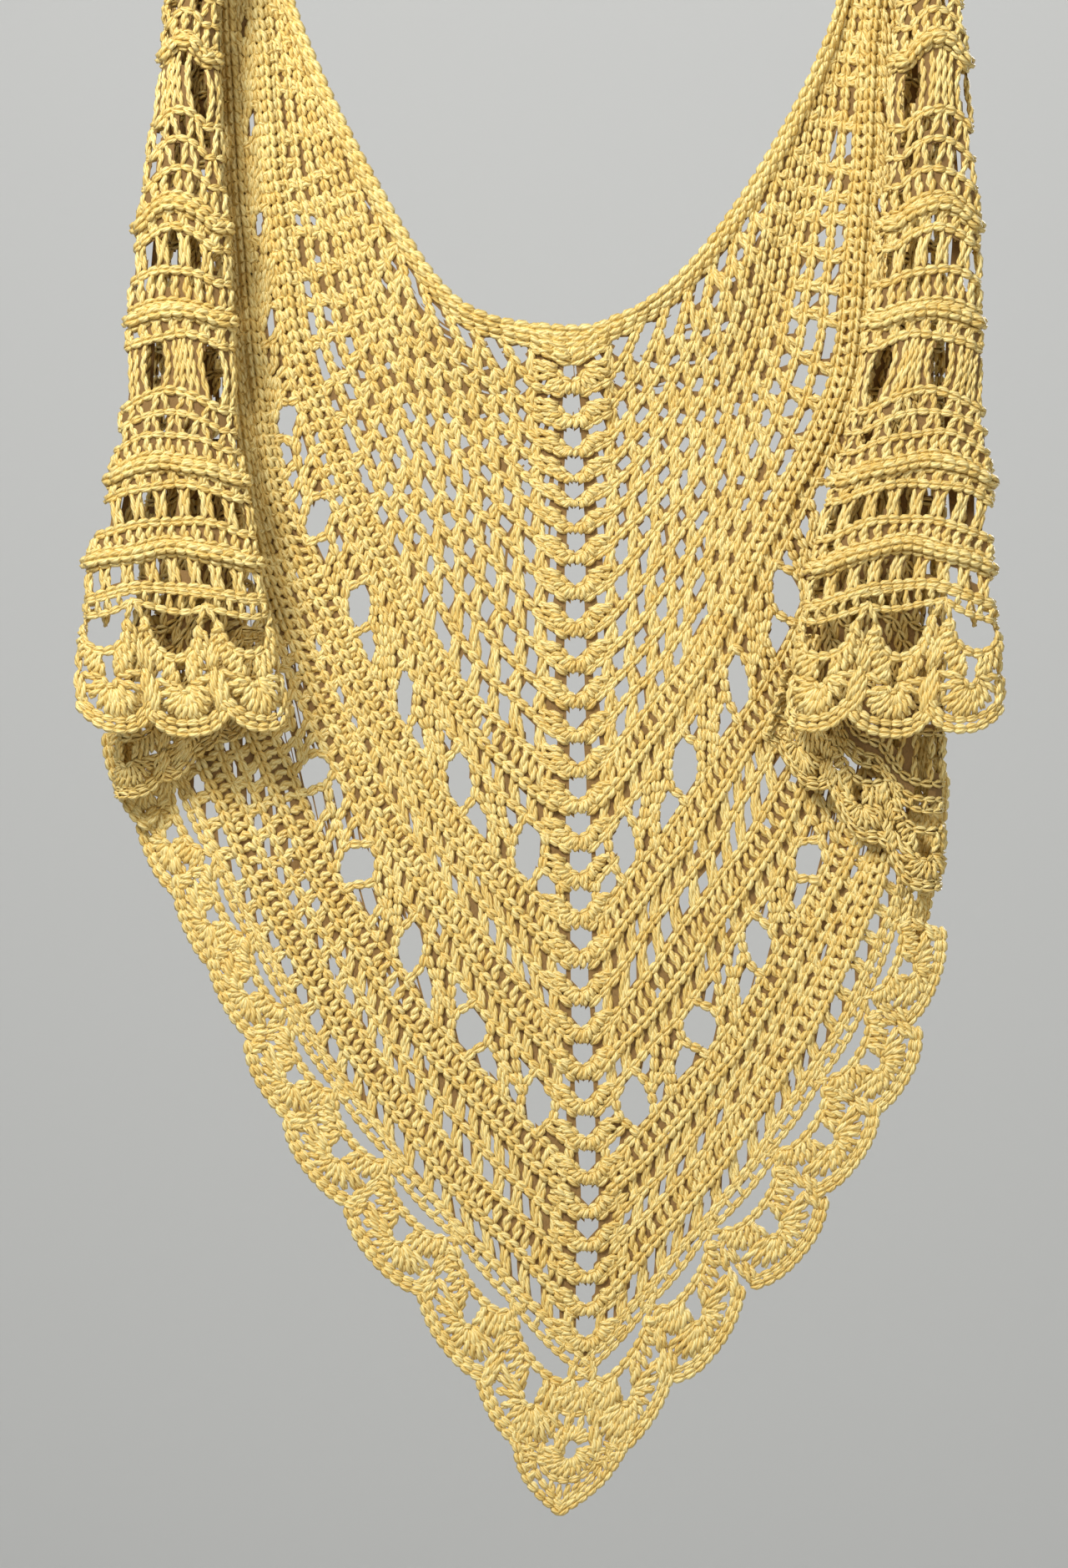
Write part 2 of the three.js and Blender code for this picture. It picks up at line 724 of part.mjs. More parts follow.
// A point on a flap. Stations -1 to 0 turn forward from the inner fold, 0 to 1 are the front, and
// 1 to 2 turn back round the outer fold.
function flapPoint(side, station, z) {
  const sign = SIDE_SIGN[side];
  const inner = column(FLAP_EDGES[side], 'inner', z);
  const outer = column(FLAP_EDGES[side], 'outer', z);
  const turn = (FLAP_DEPTH - WING_DEPTH) / 2;
  const start = inner + sign * FLAP_INNER_RADIUS;
  const end = outer - sign * turn;
  if (station <= 0) {
    const angle = ((station + 1) * Math.PI) / 2;
    const x = start - sign * FLAP_INNER_RADIUS * Math.cos(angle);
    const depth = FLAP_DEPTH - FLAP_INNER_RADIUS * (1 - Math.sin(angle));
    return new THREE.Vector3(x, -depth, z);
  }
  if (station <= 1) {
    const crown = FLAP_CROWN * smoothstep(-z, CROWN_DROP.start, CROWN_DROP.full);
    const ripple = FLAP_RIPPLE * smoothstep(-z, RIPPLE_DROP.start, RIPPLE_DROP.full);
    const bow = crown * Math.sin(Math.PI * station) + ripple * Math.sin(FLAP_RIPPLES * Math.PI * station);
    return new THREE.Vector3(lerp(start, end, station), -FLAP_DEPTH - bow, z);
  }
  const angle = (station - 1) * Math.PI;
  const x = end + sign * turn * Math.sin(angle);
  return new THREE.Vector3(x, -FLAP_DEPTH + turn * (1 - Math.cos(angle)), z);
}

const INNER_TURN_STATIONS = [-1, -0.66, -0.33];
const OUTER_TURN_STATIONS = [1.31, 1.62, 1.95, 2];
const PLAIN_FRONT = [0, 0.25, 0.5, 0.75, 1];
const HEM_FRONT = Array.from({ length: 13 }, (_, i) => i / 12);
const HEM_STATIONS = [...INNER_TURN_STATIONS, ...HEM_FRONT, ...OUTER_TURN_STATIONS];

// Stations across a flap, with two to each gap in its front
function flapStations(gaps) {
  const front = [0];
  for (let gap = 0; gap < gaps; gap += 1) {
    front.push(...FLAP_GAP_SHARES.map((share) => (gap + share) / gaps));
  }
  front.push(1);
  return [...INNER_TURN_STATIONS, ...(gaps ? front : PLAIN_FRONT), ...OUTER_TURN_STATIONS];
}

function flapWall(side, rows, hemDrop = () => 0) {
  const cloth = new Cloth(side === 'left');
  let upper = null;
  let gapsAbove = 0;
  rows.forEach((entry, i) => {
    const isHem = i === rows.length - 1;
    const rise = entry.ridge ? RIDGE_RISE : 0;
    const place = (station) => flapPoint(side, station, entry.z - (isHem ? hemDrop(station) : 0));
    const stations = isHem ? HEM_STATIONS : flapStations(Math.max(entry.gaps, gapsAbove));
    const lower = cloth.line(stations, place, rise);
    if (upper) {
      const lastGap = 2 * gapsAbove;
      cloth.join(upper, lower, (cell) => {
        const front = cell - INNER_TURN_STATIONS.length;
        return front > 0 && front % 2 === 1 && front < lastGap;
      });
    }
    upper = lower;
    gapsAbove = entry.gaps;
  });
  return cloth.wall();
}

function flapEdging(side) {
  const drop = (station) => FLAP_SCALLOP * Math.abs(Math.sin(Math.PI * FLAP_SCALLOPS * station));
  return flapWall(side, [...FLAP_EDGING_ROWS, { z: FLAP_HEM_Z, gaps: 0 }], drop);
}

// The hidden end of the wing: from the flap's outer fold to its free edge, narrowing to the tip
function wing(side) {
  const sign = SIDE_SIGN[side];
  const turn = (FLAP_DEPTH - WING_DEPTH) / 2;
  const tip = HEMS[side].wingTip;
  const cloth = new Cloth(side === 'right');
  let upper = null;
  for (const level of WING_LEVELS) {
    const z = lerp(FOLD_TOP_Z, tip, level);
    const outer = column(FLAP_EDGES[side], 'outer', z) - sign * (turn + WING_GAP);
    const room = Math.abs(outer - column(FLAP_EDGES[side], 'inner', z)) - WING_CLEARANCE;
    const width = Math.max(WING_TIP_WIDTH, Math.min(room, WING_WIDTH) * (1 - level * level));
    const place = (share) => new THREE.Vector3(outer - sign * width * share, -WING_DEPTH, z);
    const lower = cloth.line(WING_ACROSS, place);
    if (upper) {
      cloth.join(upper, lower);
    }
    upper = lower;
  }
  return cloth.wall();
}

// The stretch over a hanging point, from the flap's top to the panel's top
function saddle(side) {
  const half = centreHalf(side);
  const back = [half.at(1, FIRST_TOP_ROW).x, half.at(1, LAST_TOP_ROW).x];
  const top = FLAP_ROWS[0].z;
  const front = [flapPoint(side, 0, top).x, flapPoint(side, 1, top).x];
  const margin = Math.asin((2 * SEAM) / SADDLE_RADIUS);
  const cloth = new Cloth(side === 'left');
  let upper = null;
  for (let step = 0; step <= SADDLE_STEPS; step += 1) {
    const angle = lerp(margin, Math.PI - margin, step / SADDLE_STEPS);
    const y = -SADDLE_RADIUS + SADDLE_RADIUS * Math.cos(angle);
    const z = TOP_Z + SADDLE_RADIUS * Math.sin(angle);
    const share = step / SADDLE_STEPS;
    const place = (station) => {
      const x = lerp(lerp(back[0], back[1], station), lerp(front[0], front[1], station), share);
      return new THREE.Vector3(x, y, z);
    };
    const lower = cloth.line(SADDLE_ACROSS, place);
    if (upper) {
      cloth.join(upper, lower);
    }
    upper = lower;
  }
  return cloth.wall();
}

const shawl = new THREE.Group();

// Adds a piece, moved so that the bearing line passes through the origin
function addPiece(name, geometry) {
  geometry.translate(0, SADDLE_RADIUS, 0);
  const yarn = new THREE.MeshStandardMaterial({ color: YARN_COLOR, roughness: 0.75, metalness: 0 });
  const piece = new THREE.Mesh(geometry, yarn);
  piece.name = name;
  shawl.add(piece);
}

addPiece('spine', spine());
for (const side of ['left', 'right']) {
  addPiece(`panel_${side}`, panel(side));
  addPiece(`edging_${side}`, edging(side));
  addPiece(`fold_${side}`, fold(side));
  addPiece(`flap_${side}`, flapWall(side, FLAP_ROWS));
  addPiece(`flap_edging_${side}`, flapEdging(side));
  addPiece(`wing_${side}`, wing(side));
  addPiece(`saddle_${side}`, saddle(side));
}

export default shawl;
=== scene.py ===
"""Looks of a crocheted triangular shawl, hung from two points.

Sizes are in millimetres until a mesh is made. A place on the cloth is given by u, the distance along
a row in millimetres, v, the row or the height, and h, the distance in front of the cloth's middle.
"""

import math

import bpy
import numpy as np
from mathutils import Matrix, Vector, kdtree


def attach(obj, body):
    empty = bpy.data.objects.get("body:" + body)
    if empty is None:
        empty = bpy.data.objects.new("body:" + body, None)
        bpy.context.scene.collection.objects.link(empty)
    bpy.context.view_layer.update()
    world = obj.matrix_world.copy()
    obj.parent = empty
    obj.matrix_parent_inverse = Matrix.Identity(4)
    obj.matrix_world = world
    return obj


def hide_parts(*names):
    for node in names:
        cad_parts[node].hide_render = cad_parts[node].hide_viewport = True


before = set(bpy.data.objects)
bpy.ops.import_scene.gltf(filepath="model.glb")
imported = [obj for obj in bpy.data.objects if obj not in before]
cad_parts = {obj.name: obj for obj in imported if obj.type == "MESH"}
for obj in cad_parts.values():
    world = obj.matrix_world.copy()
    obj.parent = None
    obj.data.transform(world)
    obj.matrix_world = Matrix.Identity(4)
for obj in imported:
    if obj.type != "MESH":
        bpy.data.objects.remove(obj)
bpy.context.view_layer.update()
RANDOM = np.random.default_rng(7)
MM = 0.001

# Yarn. A chain link's rows are how far along it lies, how far aside and how high.
STITCH = 5.0
STRAND_RADIUS = 1.12
STRAND_SIDES = 4
HIDDEN_SIDES = 3
PLY_PITCH = 3.6
PLY_SLANT = 3.0
STROKE = 4.3
END_TAPER = 0.55
LINK_SHAPE = [(0.0, 0.3, -0.4), (0.42, 1.0, 0.85), (0.85, 0.85, 1.1), (1.3, 0.1, 0.0)]

# How far two strands stand from their shared line, and the radius of each, by the kind of stitch
DENSE_POST = {"spread": 1.1, "radius": 1.25}
DENSE_EDGE = {"spread": 1.15, "radius": 1.05}
RIDGE_CHAIN = {"spread": 1.5, "radius": 1.35}
NET_POST = {"spread": 0.95, "radius": 1.15}
EVEN_CHAIN = {"spread": 1.15, "radius": 1.15}
EYELET_POST = {"spread": 0.85, "radius": 1.08}
EYELET_CHAIN = {"spread": 1.1, "radius": 1.12}
BAR_CHAIN = {"spread": 1.05, "radius": 1.12}
SHELL_POST = {"spread": 0.9, "radius": 1.1}
SHELL_CHAIN = {"spread": 0.9, "radius": 1.0}
SHELL_EYE = {"pitch": 3.6, "spread": 0.6, "radius": 1.0}
FINE = {"spread": 0.75, "radius": 0.95}
BOLD = {"spread": 1.1, "radius": 1.22}
TIP_POST = {"spread": 0.95, "radius": 1.1}
TIP_CHAIN = {"spread": 1.1, "radius": 1.15}
FAN_EYE = {"pitch": 3.4, "spread": 0.5, "radius": 0.95}

# The thick edge round the neck: each chain's distance from the edge, its height and its shape
NECK_CHAINS = [
    (2.2, 2.0, {"pitch": 6.2, "spread": 1.6, "radius": 1.55}),
    (6.2, 1.5, {"pitch": 6.2, "spread": 1.55, "radius": 1.5}),
    (10.0, 0.5, {"pitch": 6.2, "spread": 1.4, "radius": 1.3}),
]

# Looks
YARN_TONES = [(0.81, 0.575, 0.168, 1), (0.95, 0.775, 0.325, 1)]
# Painted shade: the yarn's colour darkens towards the first colour in the crevices between its plies
PAINTED_PLY_SHADES = [(0.84, 0.72, 0.5, 1), (1, 1, 1, 1)]
PAINTED_PLY_SHADE_STOPS = [0.05, 0.5]
GLOSS = {
    "Roughness": 0.38, "Specular IOR Level": 0.45, "Sheen Weight": 0.1, "Sheen Roughness": 0.4,
    "Sheen Tint": (1.0, 0.85, 0.5, 1),
}
PLY_BUMP = 0.55
# Painted shade: a dark sheet among the stitches gives the shade in their gaps and insides
PAINTED_SHADE_TONES = [(0.17, 0.09, 0.024, 1), (0.33, 0.19, 0.055, 1)]
PAINTED_SHADE_ROUGHNESS = 0.8
PAINTED_SHADE_BUMP = 0.5
BUMP_DISTANCE = 0.0005
NOISE_SCALE = 700.0

# The dark sheet of painted shade inside the stitches: its cells, its height, and how near yarn has to
# pass
PAINTED_SHADE_CELL = 3.3
PAINTED_SHADE_HEIGHT = 0.4
PAINTED_SHADE_REACH = {"panel": 2.2, "flap": 2.1, "fold": 2.1, "wing": 6.0, "saddle": 6.0}

# Stage, lights and camera, in metres and watts
STAGE_COLOUR = (0.66, 0.66, 0.64, 1)
STAGE_REACH = 9.0
FLOOR_Z = -1.7
BACKDROP_TOP = 6.0
AIR_COLOUR = (0.95, 0.97, 1.0, 1)
AIR_STRENGTH = 0.27
SHAWL_MIDDLE = (-0.011, 0.0, -0.40)
LIGHTS = [
    ("key", (-0.85, -1.35, 0.85), 0.6, 44, SHAWL_MIDDLE),
    ("fill", (1.5, -2.2, 0.0), 1.6, 13, SHAWL_MIDDLE),
    ("back", (1.4, 3.0, 0.7), 1.6, 40, SHAWL_MIDDLE),
    ("backdrop_light", (0.0, 4.6, 2.6), 2.5, 150, (0.0, 9.0, -1.0)),
]
LENS = 180.0
SENSOR_HEIGHT = 36.0
FRAME_HEIGHT = 0.6764
FRAME_X = -0.0108
FRAME_Z = -0.4284

# The drape, as in the solids
BEARING_Y = 16.0
TOP_Z = -14.5
FOLD_TOP_Z = -20.0
SEAM = 0.3
FOLD_DEPTH = 12.0
WING_DEPTH = 22.0
FLAP_DEPTH = 32.0
FLAP_INNER_RADIUS = 8.0
SADDLE_RADIUS = 16
SIDE_SIGN = {"left": -1, "right": 1}

# Rows of the centre panel: x and z at the spine and at four places outwards
ROW_NUMBERS = [0, 3, 7, 11, 15, 19, 22, 25.5, 28.7, 29.8, 33]
SPINE_ROW = [
    (4.7, -234.7), (6.1, -279.7), (6.8, -324.7), (7.2, -385.9), (8.6, -446.4), (9, -513),
    (10.8, -561.2), (12.6, -613.8), (11.5, -658.8), (11.2, -675), (3.6, -739.8),
]
ROWS = {
    "right": [
        [(7.6, -234.4), (10.4, -234), (13.3, -233.3), (16.2, -232.6)],
        [(19.8, -268.9), (32.4, -253.8), (42.5, -234), (49, -212)],
        [(32.4, -302.4), (59.4, -266.4), (77.4, -219.6), (88.2, -162)],
        [(41.4, -349.9), (73.8, -298.8), (95.4, -237.6), (118.1, -100.8)],
        [(51.1, -394.2), (93.6, -316.1), (126, -243), (140.4, TOP_Z)],
        [(65.2, -438.5), (113.4, -356.4), (141.1, -244.8), (149.4, TOP_Z)],
        [(68.4, -489.6), (113.4, -414), (147.6, -291.6), (158.4, TOP_Z)],
        [(65.2, -558.4), (113.4, -483.5), (147.6, -399.6), (158.4, -270)],
        [(58.7, -606.2), (97.2, -552.6), (136.8, -473.4), (158.4, -374.4)],
        [(61.2, -619.2), (103.7, -560.5), (143.3, -481.7), (158.4, -406.8)],
        [(46.8, -698.4), (91.8, -640.8), (140.4, -568.8), (157, -484.2)],
    ],
    "left": [
        [(1.8, -234.4), (-1.1, -234), (-4, -233.3), (-6.8, -232.6)],
        [(-10.8, -268.9), (-24.1, -253.8), (-34.2, -237.6), (-41, -221.8)],
        [(-21.6, -298.8), (-50.4, -261), (-70.2, -219.6), (-82.8, -163.8)],
        [(-25.2, -352.1), (-57.6, -306), (-86.4, -237.6), (-114.5, -93.6)],
        [(-39.6, -403.2), (-77.4, -334.8), (-115.2, -230.4), (-136.8, TOP_Z)],
        [(-46.8, -450), (-90, -378), (-126, -288), (-146.9, TOP_Z)],
        [(-43.2, -496.8), (-88.2, -423), (-133.2, -306), (-156.2, TOP_Z)],
        [(-46.8, -554.4), (-97.2, -484.2), (-136.8, -396), (-168, -270)],
        [(-43.2, -604.8), (-93.6, -538.2), (-140.4, -451.8), (-175, -356.4)],
        [(-48.2, -613.8), (-100.8, -544.3), (-146.9, -457.9), (-180, -388.8)],
        [(-39.6, -680.4), (-95.4, -606.6), (-149.4, -518.4), (-184, -441)],
    ],
}

# Edges of the flaps at heights z, and the inner edge of the folds behind them
FLAP_EDGES = {
    "right": {
        "z": [-20, -90, -183.6, -256, -299.5, -336.2, -372.6, -410],
        "inner": [138, 145.1, 139, 128.5, 117.4, 107.6, 102.6, 97],
        "outer": [171, 171.7, 178.6, 180, 184.3, 184.3, 187.2, 189.8],
    },
    "left": {
        "z": [-20, -112, -191.5, -276.1, -314.6, -330.1, -364, -410],
        "inner": [-134, -147.2, -142.2, -138.6, -132.1, -129.6, -124.2, -115.6],
        "outer": [-167.4, -168.1, -180, -187.2, -194.8, -200.9, -202.7, -212],
    },
}
FLAP_ARCH = {
    "right": [(15, 4), (113, 8), (184, 7), (227, 5), (293, 8), (335, 8), (407, 0)],
    "left": [(15, 4), (113, 6), (184, 8), (227, 4), (293, 7), (335, 4), (407, 0)],
}
FOLD_EDGES = {
    "right": {
        "z": [-20, -90, -229.7, -299.5, -372.6, -410.4, -482.4],
        "inner": [141, 146, 139, 119, 99, 84, 88],
    },
    "left": {
        "z": [-20, -90, -191.5, -276.1, -342, -392.4, -441],
        "inner": [-139, -145, -144, -140, -131, -121, -117],
    },
}
HEMS = {
    "right": {"fold_inner": -414, "wing_tip": -372, "scallops": 3},
    "left": {"fold_inner": -398, "wing_tip": -366, "scallops": 2},
}

# Rows of the chart, and the pitch of what repeats along them
SPINE_ROWS = 30
LAST_MESH_ROW = 14
RIDGE_ROWS = [15, 19, 22, 25.5, 28.7]
SEAM_ROW = 29.8
LAST_ROW = 33
EDGING_DEPTH = 45.0
SCALLOP_PITCH = 38.5
MESH_PITCH = 13.6
EYELET_PITCH = 12.0
SMALL_EYELET_PITCH = 8.6
SEAM_EYELET_PITCH = 12.6
FLOWER_PITCH = 43.0
SPINE_CLUSTER = 16.0
SPINE_SIDE = SPINE_CLUSTER - 2
FAR = 2000.0
BAND_CHART = [
    ("dense", 14.0, 14.9), ("small", 15.1, 15.95), ("flowers", 16.0, 17.95), ("chain", 18.0, 0),
    ("dense", 18.05, 18.9), ("small", 19.1, 19.95), ("eyelets", 20.0, 20.95), ("dense", 21.0, 21.9),
    ("small", 22.1, 22.9), ("flowers", 22.95, 24.6), ("chain", 24.65, 0), ("dense", 24.7, 25.4),
    ("small", 25.6, 26.5), ("eyelets", 26.55, 27.5), ("dense", 27.55, 28.6),
]

# Distances from the spine between which posts turn from upright to square to their row
SQUARE_FROM = 90
SQUARE_BY = 230

# The fan at the point of the shawl
TIP_TOP = (11.2, BEARING_Y, -675.0)
TIP_OUT = (-10.7, 0.0, -66.0)

# Rows of the flaps by height below the origin, and what repeats on them and on the hidden cloth
FLAP_CHART = [
    ("net", 15, 100), ("dense", 101, 110), ("ridge", 113.5, 0), ("flowers", 118, 142),
    ("net", 142, 168), ("dense", 169, 180), ("ridge", 184.5, 0), ("small", 187, 194),
    ("eyelets", 195, 210), ("dense", 211, 223), ("ridge", 227.5, 0), ("small", 230, 238),
    ("flowers", 239, 264), ("net", 264, 281), ("dense", 282, 290), ("ridge", 293.5, 0),
    ("small", 296, 302), ("eyelets", 303, 318), ("dense", 319, 327), ("ridge", 330.5, 0),
]
FLAP_EDGING_CHART = [("eyelets", 334, 346)]
FLAP_NET_ROW = 11
FLAP_NET_PITCH = 10.5
FLAP_EYELET_PITCH = 9.6
FLAP_SMALL_PITCH = 6.6
FLAP_FLOWER_PITCH = 25
FLAP_FLOWER_POSTS = [(3.6, 2.4), (8.2, 1.4), (11.6, 0.3)]
FLAP_HEM_DROP = 346.5
FLAP_HEM_DEPTHS = [59.5, 63.5]
FLAP_SCALLOP = 30.0
FLAP_OVAL = 10.5
FOLD_HEM_DEPTH = 40.0
FOLD_SCALLOP = 34.0
HIDDEN_ROW = 11.0
HIDDEN_STITCH = 6.8
SADDLE_ROW = 9.5
WING_TIP = 45.0
WING_INSET = 6.4


def smoothstep(x, low, high):
    t = np.clip((np.asarray(x, float) - low) / (high - low), 0, 1)
    return t * t * (3 - 2 * t)


def unit(vectors):
    return vectors / np.maximum(np.linalg.norm(vectors, axis=-1, keepdims=True), 1e-9)


def through(knots, values, at):
    """Values of smooth curves through knots that never overshoot them."""
    knots, values, at = np.asarray(knots, float), np.asarray(values, float), np.atleast_1d(at)
    span = np.diff(knots)
    secant = np.diff(values, axis=0) / span[:, None]
    before, after = secant[:-1], secant[1:]
    agree = before * after > 0
    inner = np.where(agree, 2 * before * after / np.where(agree, before + after, 1), 0)
    slope = np.concatenate([secant[:1], inner, secant[-1:]])
    i = np.clip(np.searchsorted(knots, at, side="left") - 1, 0, len(knots) - 2)
    t = ((at - knots[i]) / span[i])[:, None]
    width = span[i][:, None]
    start = (2 * t**3 - 3 * t**2 + 1) * values[i]
    end = (3 * t**2 - 2 * t**3) * values[i + 1]
    leave = (t**3 - 2 * t**2 + t) * width * slope[i]
    arrive = (t**3 - t**2) * width * slope[i + 1]
    return start + end + leave + arrive


class Patch:
    """A stretch of cloth: a grid of points, read by distance along a row and by row."""

    def __init__(self, points, rows, flip=False, sway=(0.0, 0.0), wave=1.0, arch=((0, 0), (1, 0))):
        self.rows = np.asarray(rows, float)
        self.sway, self.wave = sway, wave
        self.arch_rows, self.arch = np.array(arch, float).T
        steps = np.linalg.norm(np.diff(points, axis=1), axis=2)
        along = np.concatenate([np.zeros((len(points), 1)), np.cumsum(steps, axis=1)], axis=1)
        self.lengths = along[:, -1]
        shares = np.linspace(0, 1, points.shape[1])
        self.points = np.stack([
            np.stack([np.interp(shares * line[-1], line, row[:, k]) for k in range(3)], axis=-1)
            for line, row in zip(along, points)
        ])
        across = np.gradient(self.points, axis=0)
        beside = np.gradient(self.points, axis=1)
        self.normals = unit(np.cross(across, beside)) * (-1 if flip else 1)

    def length(self, v):
        return np.interp(v, self.rows, self.lengths)

    def read(self, u, v):
        """Points and normals at u and v, a little displaced, as stitches are by hand."""
        u, v = np.broadcast_arrays(np.asarray(u, float), np.asarray(v, float))
        turn = v * self.wave
        inner = np.clip(u / 30, 0, 1) * np.clip((self.length(v) - u) / 30, 0, 1)
        drift = np.sin(0.071 * u + 1.9 * turn) + 0.6 * np.sin(0.13 * u - 2.7 * turn + 1.0)
        lift = np.sin(0.083 * u - 1.3 * turn + 0.5) + 0.5 * np.sin(0.19 * u + 2.3 * turn)
        u = u + self.sway[0] * inner * drift
        v = v + self.sway[1] * inner * lift
        half = self.length(v) / 2
        aside = np.clip((u - half) / np.maximum(half - 12, 1), -1.1, 1.1)
        v = v + np.interp(v, self.arch_rows, self.arch) * (aside**2 - 0.4)
        row = np.interp(v, self.rows, np.arange(len(self.rows)))
        last = self.points.shape[1] - 1
        column = np.clip(u / np.maximum(self.length(v), 1e-6), 0, 1) * last
        i = np.minimum(row.astype(int), len(self.rows) - 2)
        j = np.minimum(column.astype(int), last - 1)
        a, b = (row - i)[..., None], (column - j)[..., None]
        found = []
        for grid in (self.points, self.normals):
            upper = grid[i, j] * (1 - b) + grid[i, j + 1] * b
            lower = grid[i + 1, j] * (1 - b) + grid[i + 1, j + 1] * b
            found.append(upper * (1 - a) + lower * a)
        return found[0], unit(found[1])

    def tangent(self, u, v, step=2.0):
        before, _ = self.read(np.maximum(u - step, 0), v)
        after, _ = self.read(np.minimum(u + step, self.length(v)), v)
        return unit(after - before)


def panel_depth(along, row):
    """How far the pleats of the centre panel stand in front of the line they hang from."""
    gather = smoothstep(along, 0.35, 0.75) * (1 - smoothstep(along, 0.76, 0.92))
    wave = 0.5 - 0.5 * np.cos(2 * np.pi * 3 * row / LAST_ROW)
    near_neck = smoothstep(along, 0.7, 1) * (1 - smoothstep(row, 8, 14))
    top = 1 - smoothstep(row, 0.5, 3.5)
    return 5 * gather * wave + 4 * np.maximum(near_neck, top)


def centre_half(side):
    """Grid of one half of the centre panel, from the spine outwards and from the neck down."""
    shares = np.linspace(0, 1, 221)
    rows = np.arange(0, LAST_ROW + 0.71, 0.1)
    curves = []
    for spine, others in zip(SPINE_ROW, ROWS[side]):
        stops = np.array([spine] + others, float)
        knots = np.concatenate([[0], np.cumsum(np.linalg.norm(np.diff(stops, axis=0), axis=1))])
        curves.append(through(knots / knots[-1], stops, shares))
    curves = np.array(curves)
    x = through(ROW_NUMBERS, curves[:, :, 0], rows)
    z = through(ROW_NUMBERS, curves[:, :, 1], rows)
    y = BEARING_Y - panel_depth(shares[None, :], rows[:, None])
    return Patch(np.stack([x, y, z], axis=-1), rows, flip=side == "left", sway=(1.1, 0.06))


def edge_line(table, name, z):
    """x of an edge of a flap or fold at heights z, read as the solids read it."""
    heights, values = np.array(table["z"], float)[::-1], np.array(table[name], float)[::-1]
    z = np.asarray(z, float)
    inside = np.interp(z, heights, values)
    low = (values[1] - values[0]) / (heights[1] - heights[0])
    high = (values[-1] - values[-2]) / (heights[-1] - heights[-2])
    inside = np.where(z < heights[0], values[0] + (z - heights[0]) * low, inside)
    return np.where(z > heights[-1], values[-1] + (z - heights[-1]) * high, inside)


def in_turn(stations, first, middle, last):
    """The part of a section that each station lies on: before 0, up to 1, or beyond."""
    return np.where(stations <= 0, first, np.where(stations <= 1, middle, last))


def flap_patch(side):
    """Grid of a flap. Rows are millimetres below the origin."""
    sign = SIDE_SIGN[side]
    stations = np.linspace(-1, 2, 121)
    drops = np.arange(-TOP_Z + SEAM, 417, 2.0)
    z = -drops[:, None] + 0 * stations
    inner, outer = (edge_line(FLAP_EDGES[side], name, z) for name in ("inner", "outer"))
    turn, radius = (FLAP_DEPTH - WING_DEPTH) / 2, FLAP_INNER_RADIUS
    start, end = inner + sign * radius, outer - sign * turn
    first = (stations + 1) * np.pi / 2
    last = (stations - 1) * np.pi
    bow = 3 * smoothstep(-z, 20, 120) * np.sin(np.pi * np.clip(stations, 0, 1))
    bow = bow + 2 * smoothstep(-z, 150, 400) * np.sin(3 * np.pi * np.clip(stations, 0, 1))
    x = in_turn(stations, start - sign * radius * np.cos(first),
                start + (end - start) * stations, end + sign * turn * np.sin(last))
    depth = in_turn(stations, FLAP_DEPTH - radius * (1 - np.sin(first)),
                    FLAP_DEPTH + bow, FLAP_DEPTH - turn * (1 - np.cos(last)))
    points = np.stack([x, BEARING_Y - depth, z], axis=-1)
    return Patch(points, drops, flip=side == "left", sway=(0.7, 1.2), wave=0.07, arch=FLAP_ARCH[side])


def fold_patch(side, half):
    """Grid of the stretch behind a flap. Rows are millimetres from its top."""
    sign, hem = SIDE_SIGN[side], HEMS[side]
    rows = np.arange(22, 32.61, 0.05)
    edge = half.read(half.length(rows), rows)[0]
    edge = edge[edge[:, 2] < FOLD_TOP_Z]
    stations = np.linspace(-1, 2, 91)
    across = np.clip(stations, 0, 1)
    top, low = edge[0, 2], edge[-1, 2]
    scallops = np.abs(np.sin(np.pi * hem["scallops"] * across))
    bottom = low + (hem["fold_inner"] - low) * across - 6 * scallops
    height = top - low
    drops = np.arange(0, height + 1, 2.0)
    z = top + (bottom - top)[None, :] * (drops / height)[:, None]
    outer = np.interp(z, edge[::-1, 2], edge[::-1, 0]) + sign * SEAM
    inner = edge_line(FOLD_EDGES[side], "inner", z)
    turn, reach = FOLD_DEPTH / 2, FLAP_DEPTH - FLAP_INNER_RADIUS - FOLD_DEPTH - 1
    first, last = (stations + 1) * np.pi, (stations - 1) * np.pi / 2
    x = in_turn(stations, outer + sign * turn * np.sin(first),
                outer + (inner + sign * reach - outer) * stations,
                inner + sign * reach * (1 - np.sin(last)))
    depth = in_turn(stations, turn * (1 - np.cos(first)), FOLD_DEPTH,
                    FOLD_DEPTH + reach * (1 - np.cos(last)))
    points = np.stack([x, BEARING_Y - depth + 0 * z, z], axis=-1)
    return Patch(points, drops, flip=side == "right")


def wing_patch(side):
    """Grid of the rest of a wing, hidden behind its flap. Rows are heights below the origin."""
    sign, tip = SIDE_SIGN[side], HEMS[side]["wing_tip"]
    level = np.linspace(0, 1, 120)[:, None]
    shares = np.linspace(0, 1, 21)
    z = FOLD_TOP_Z + (tip - FOLD_TOP_Z) * level
    outer = edge_line(FLAP_EDGES[side], "outer", z) - sign * WING_INSET
    room = np.abs(outer - edge_line(FLAP_EDGES[side], "inner", z)) - 30
    width = np.maximum(4, np.minimum(room, 50) * (1 - level**2))
    x = outer - sign * width * shares
    y = np.full_like(x, BEARING_Y - WING_DEPTH)
    return Patch(np.stack([x, y, z + 0 * x], axis=-1), -z[:, 0], flip=side == "right")


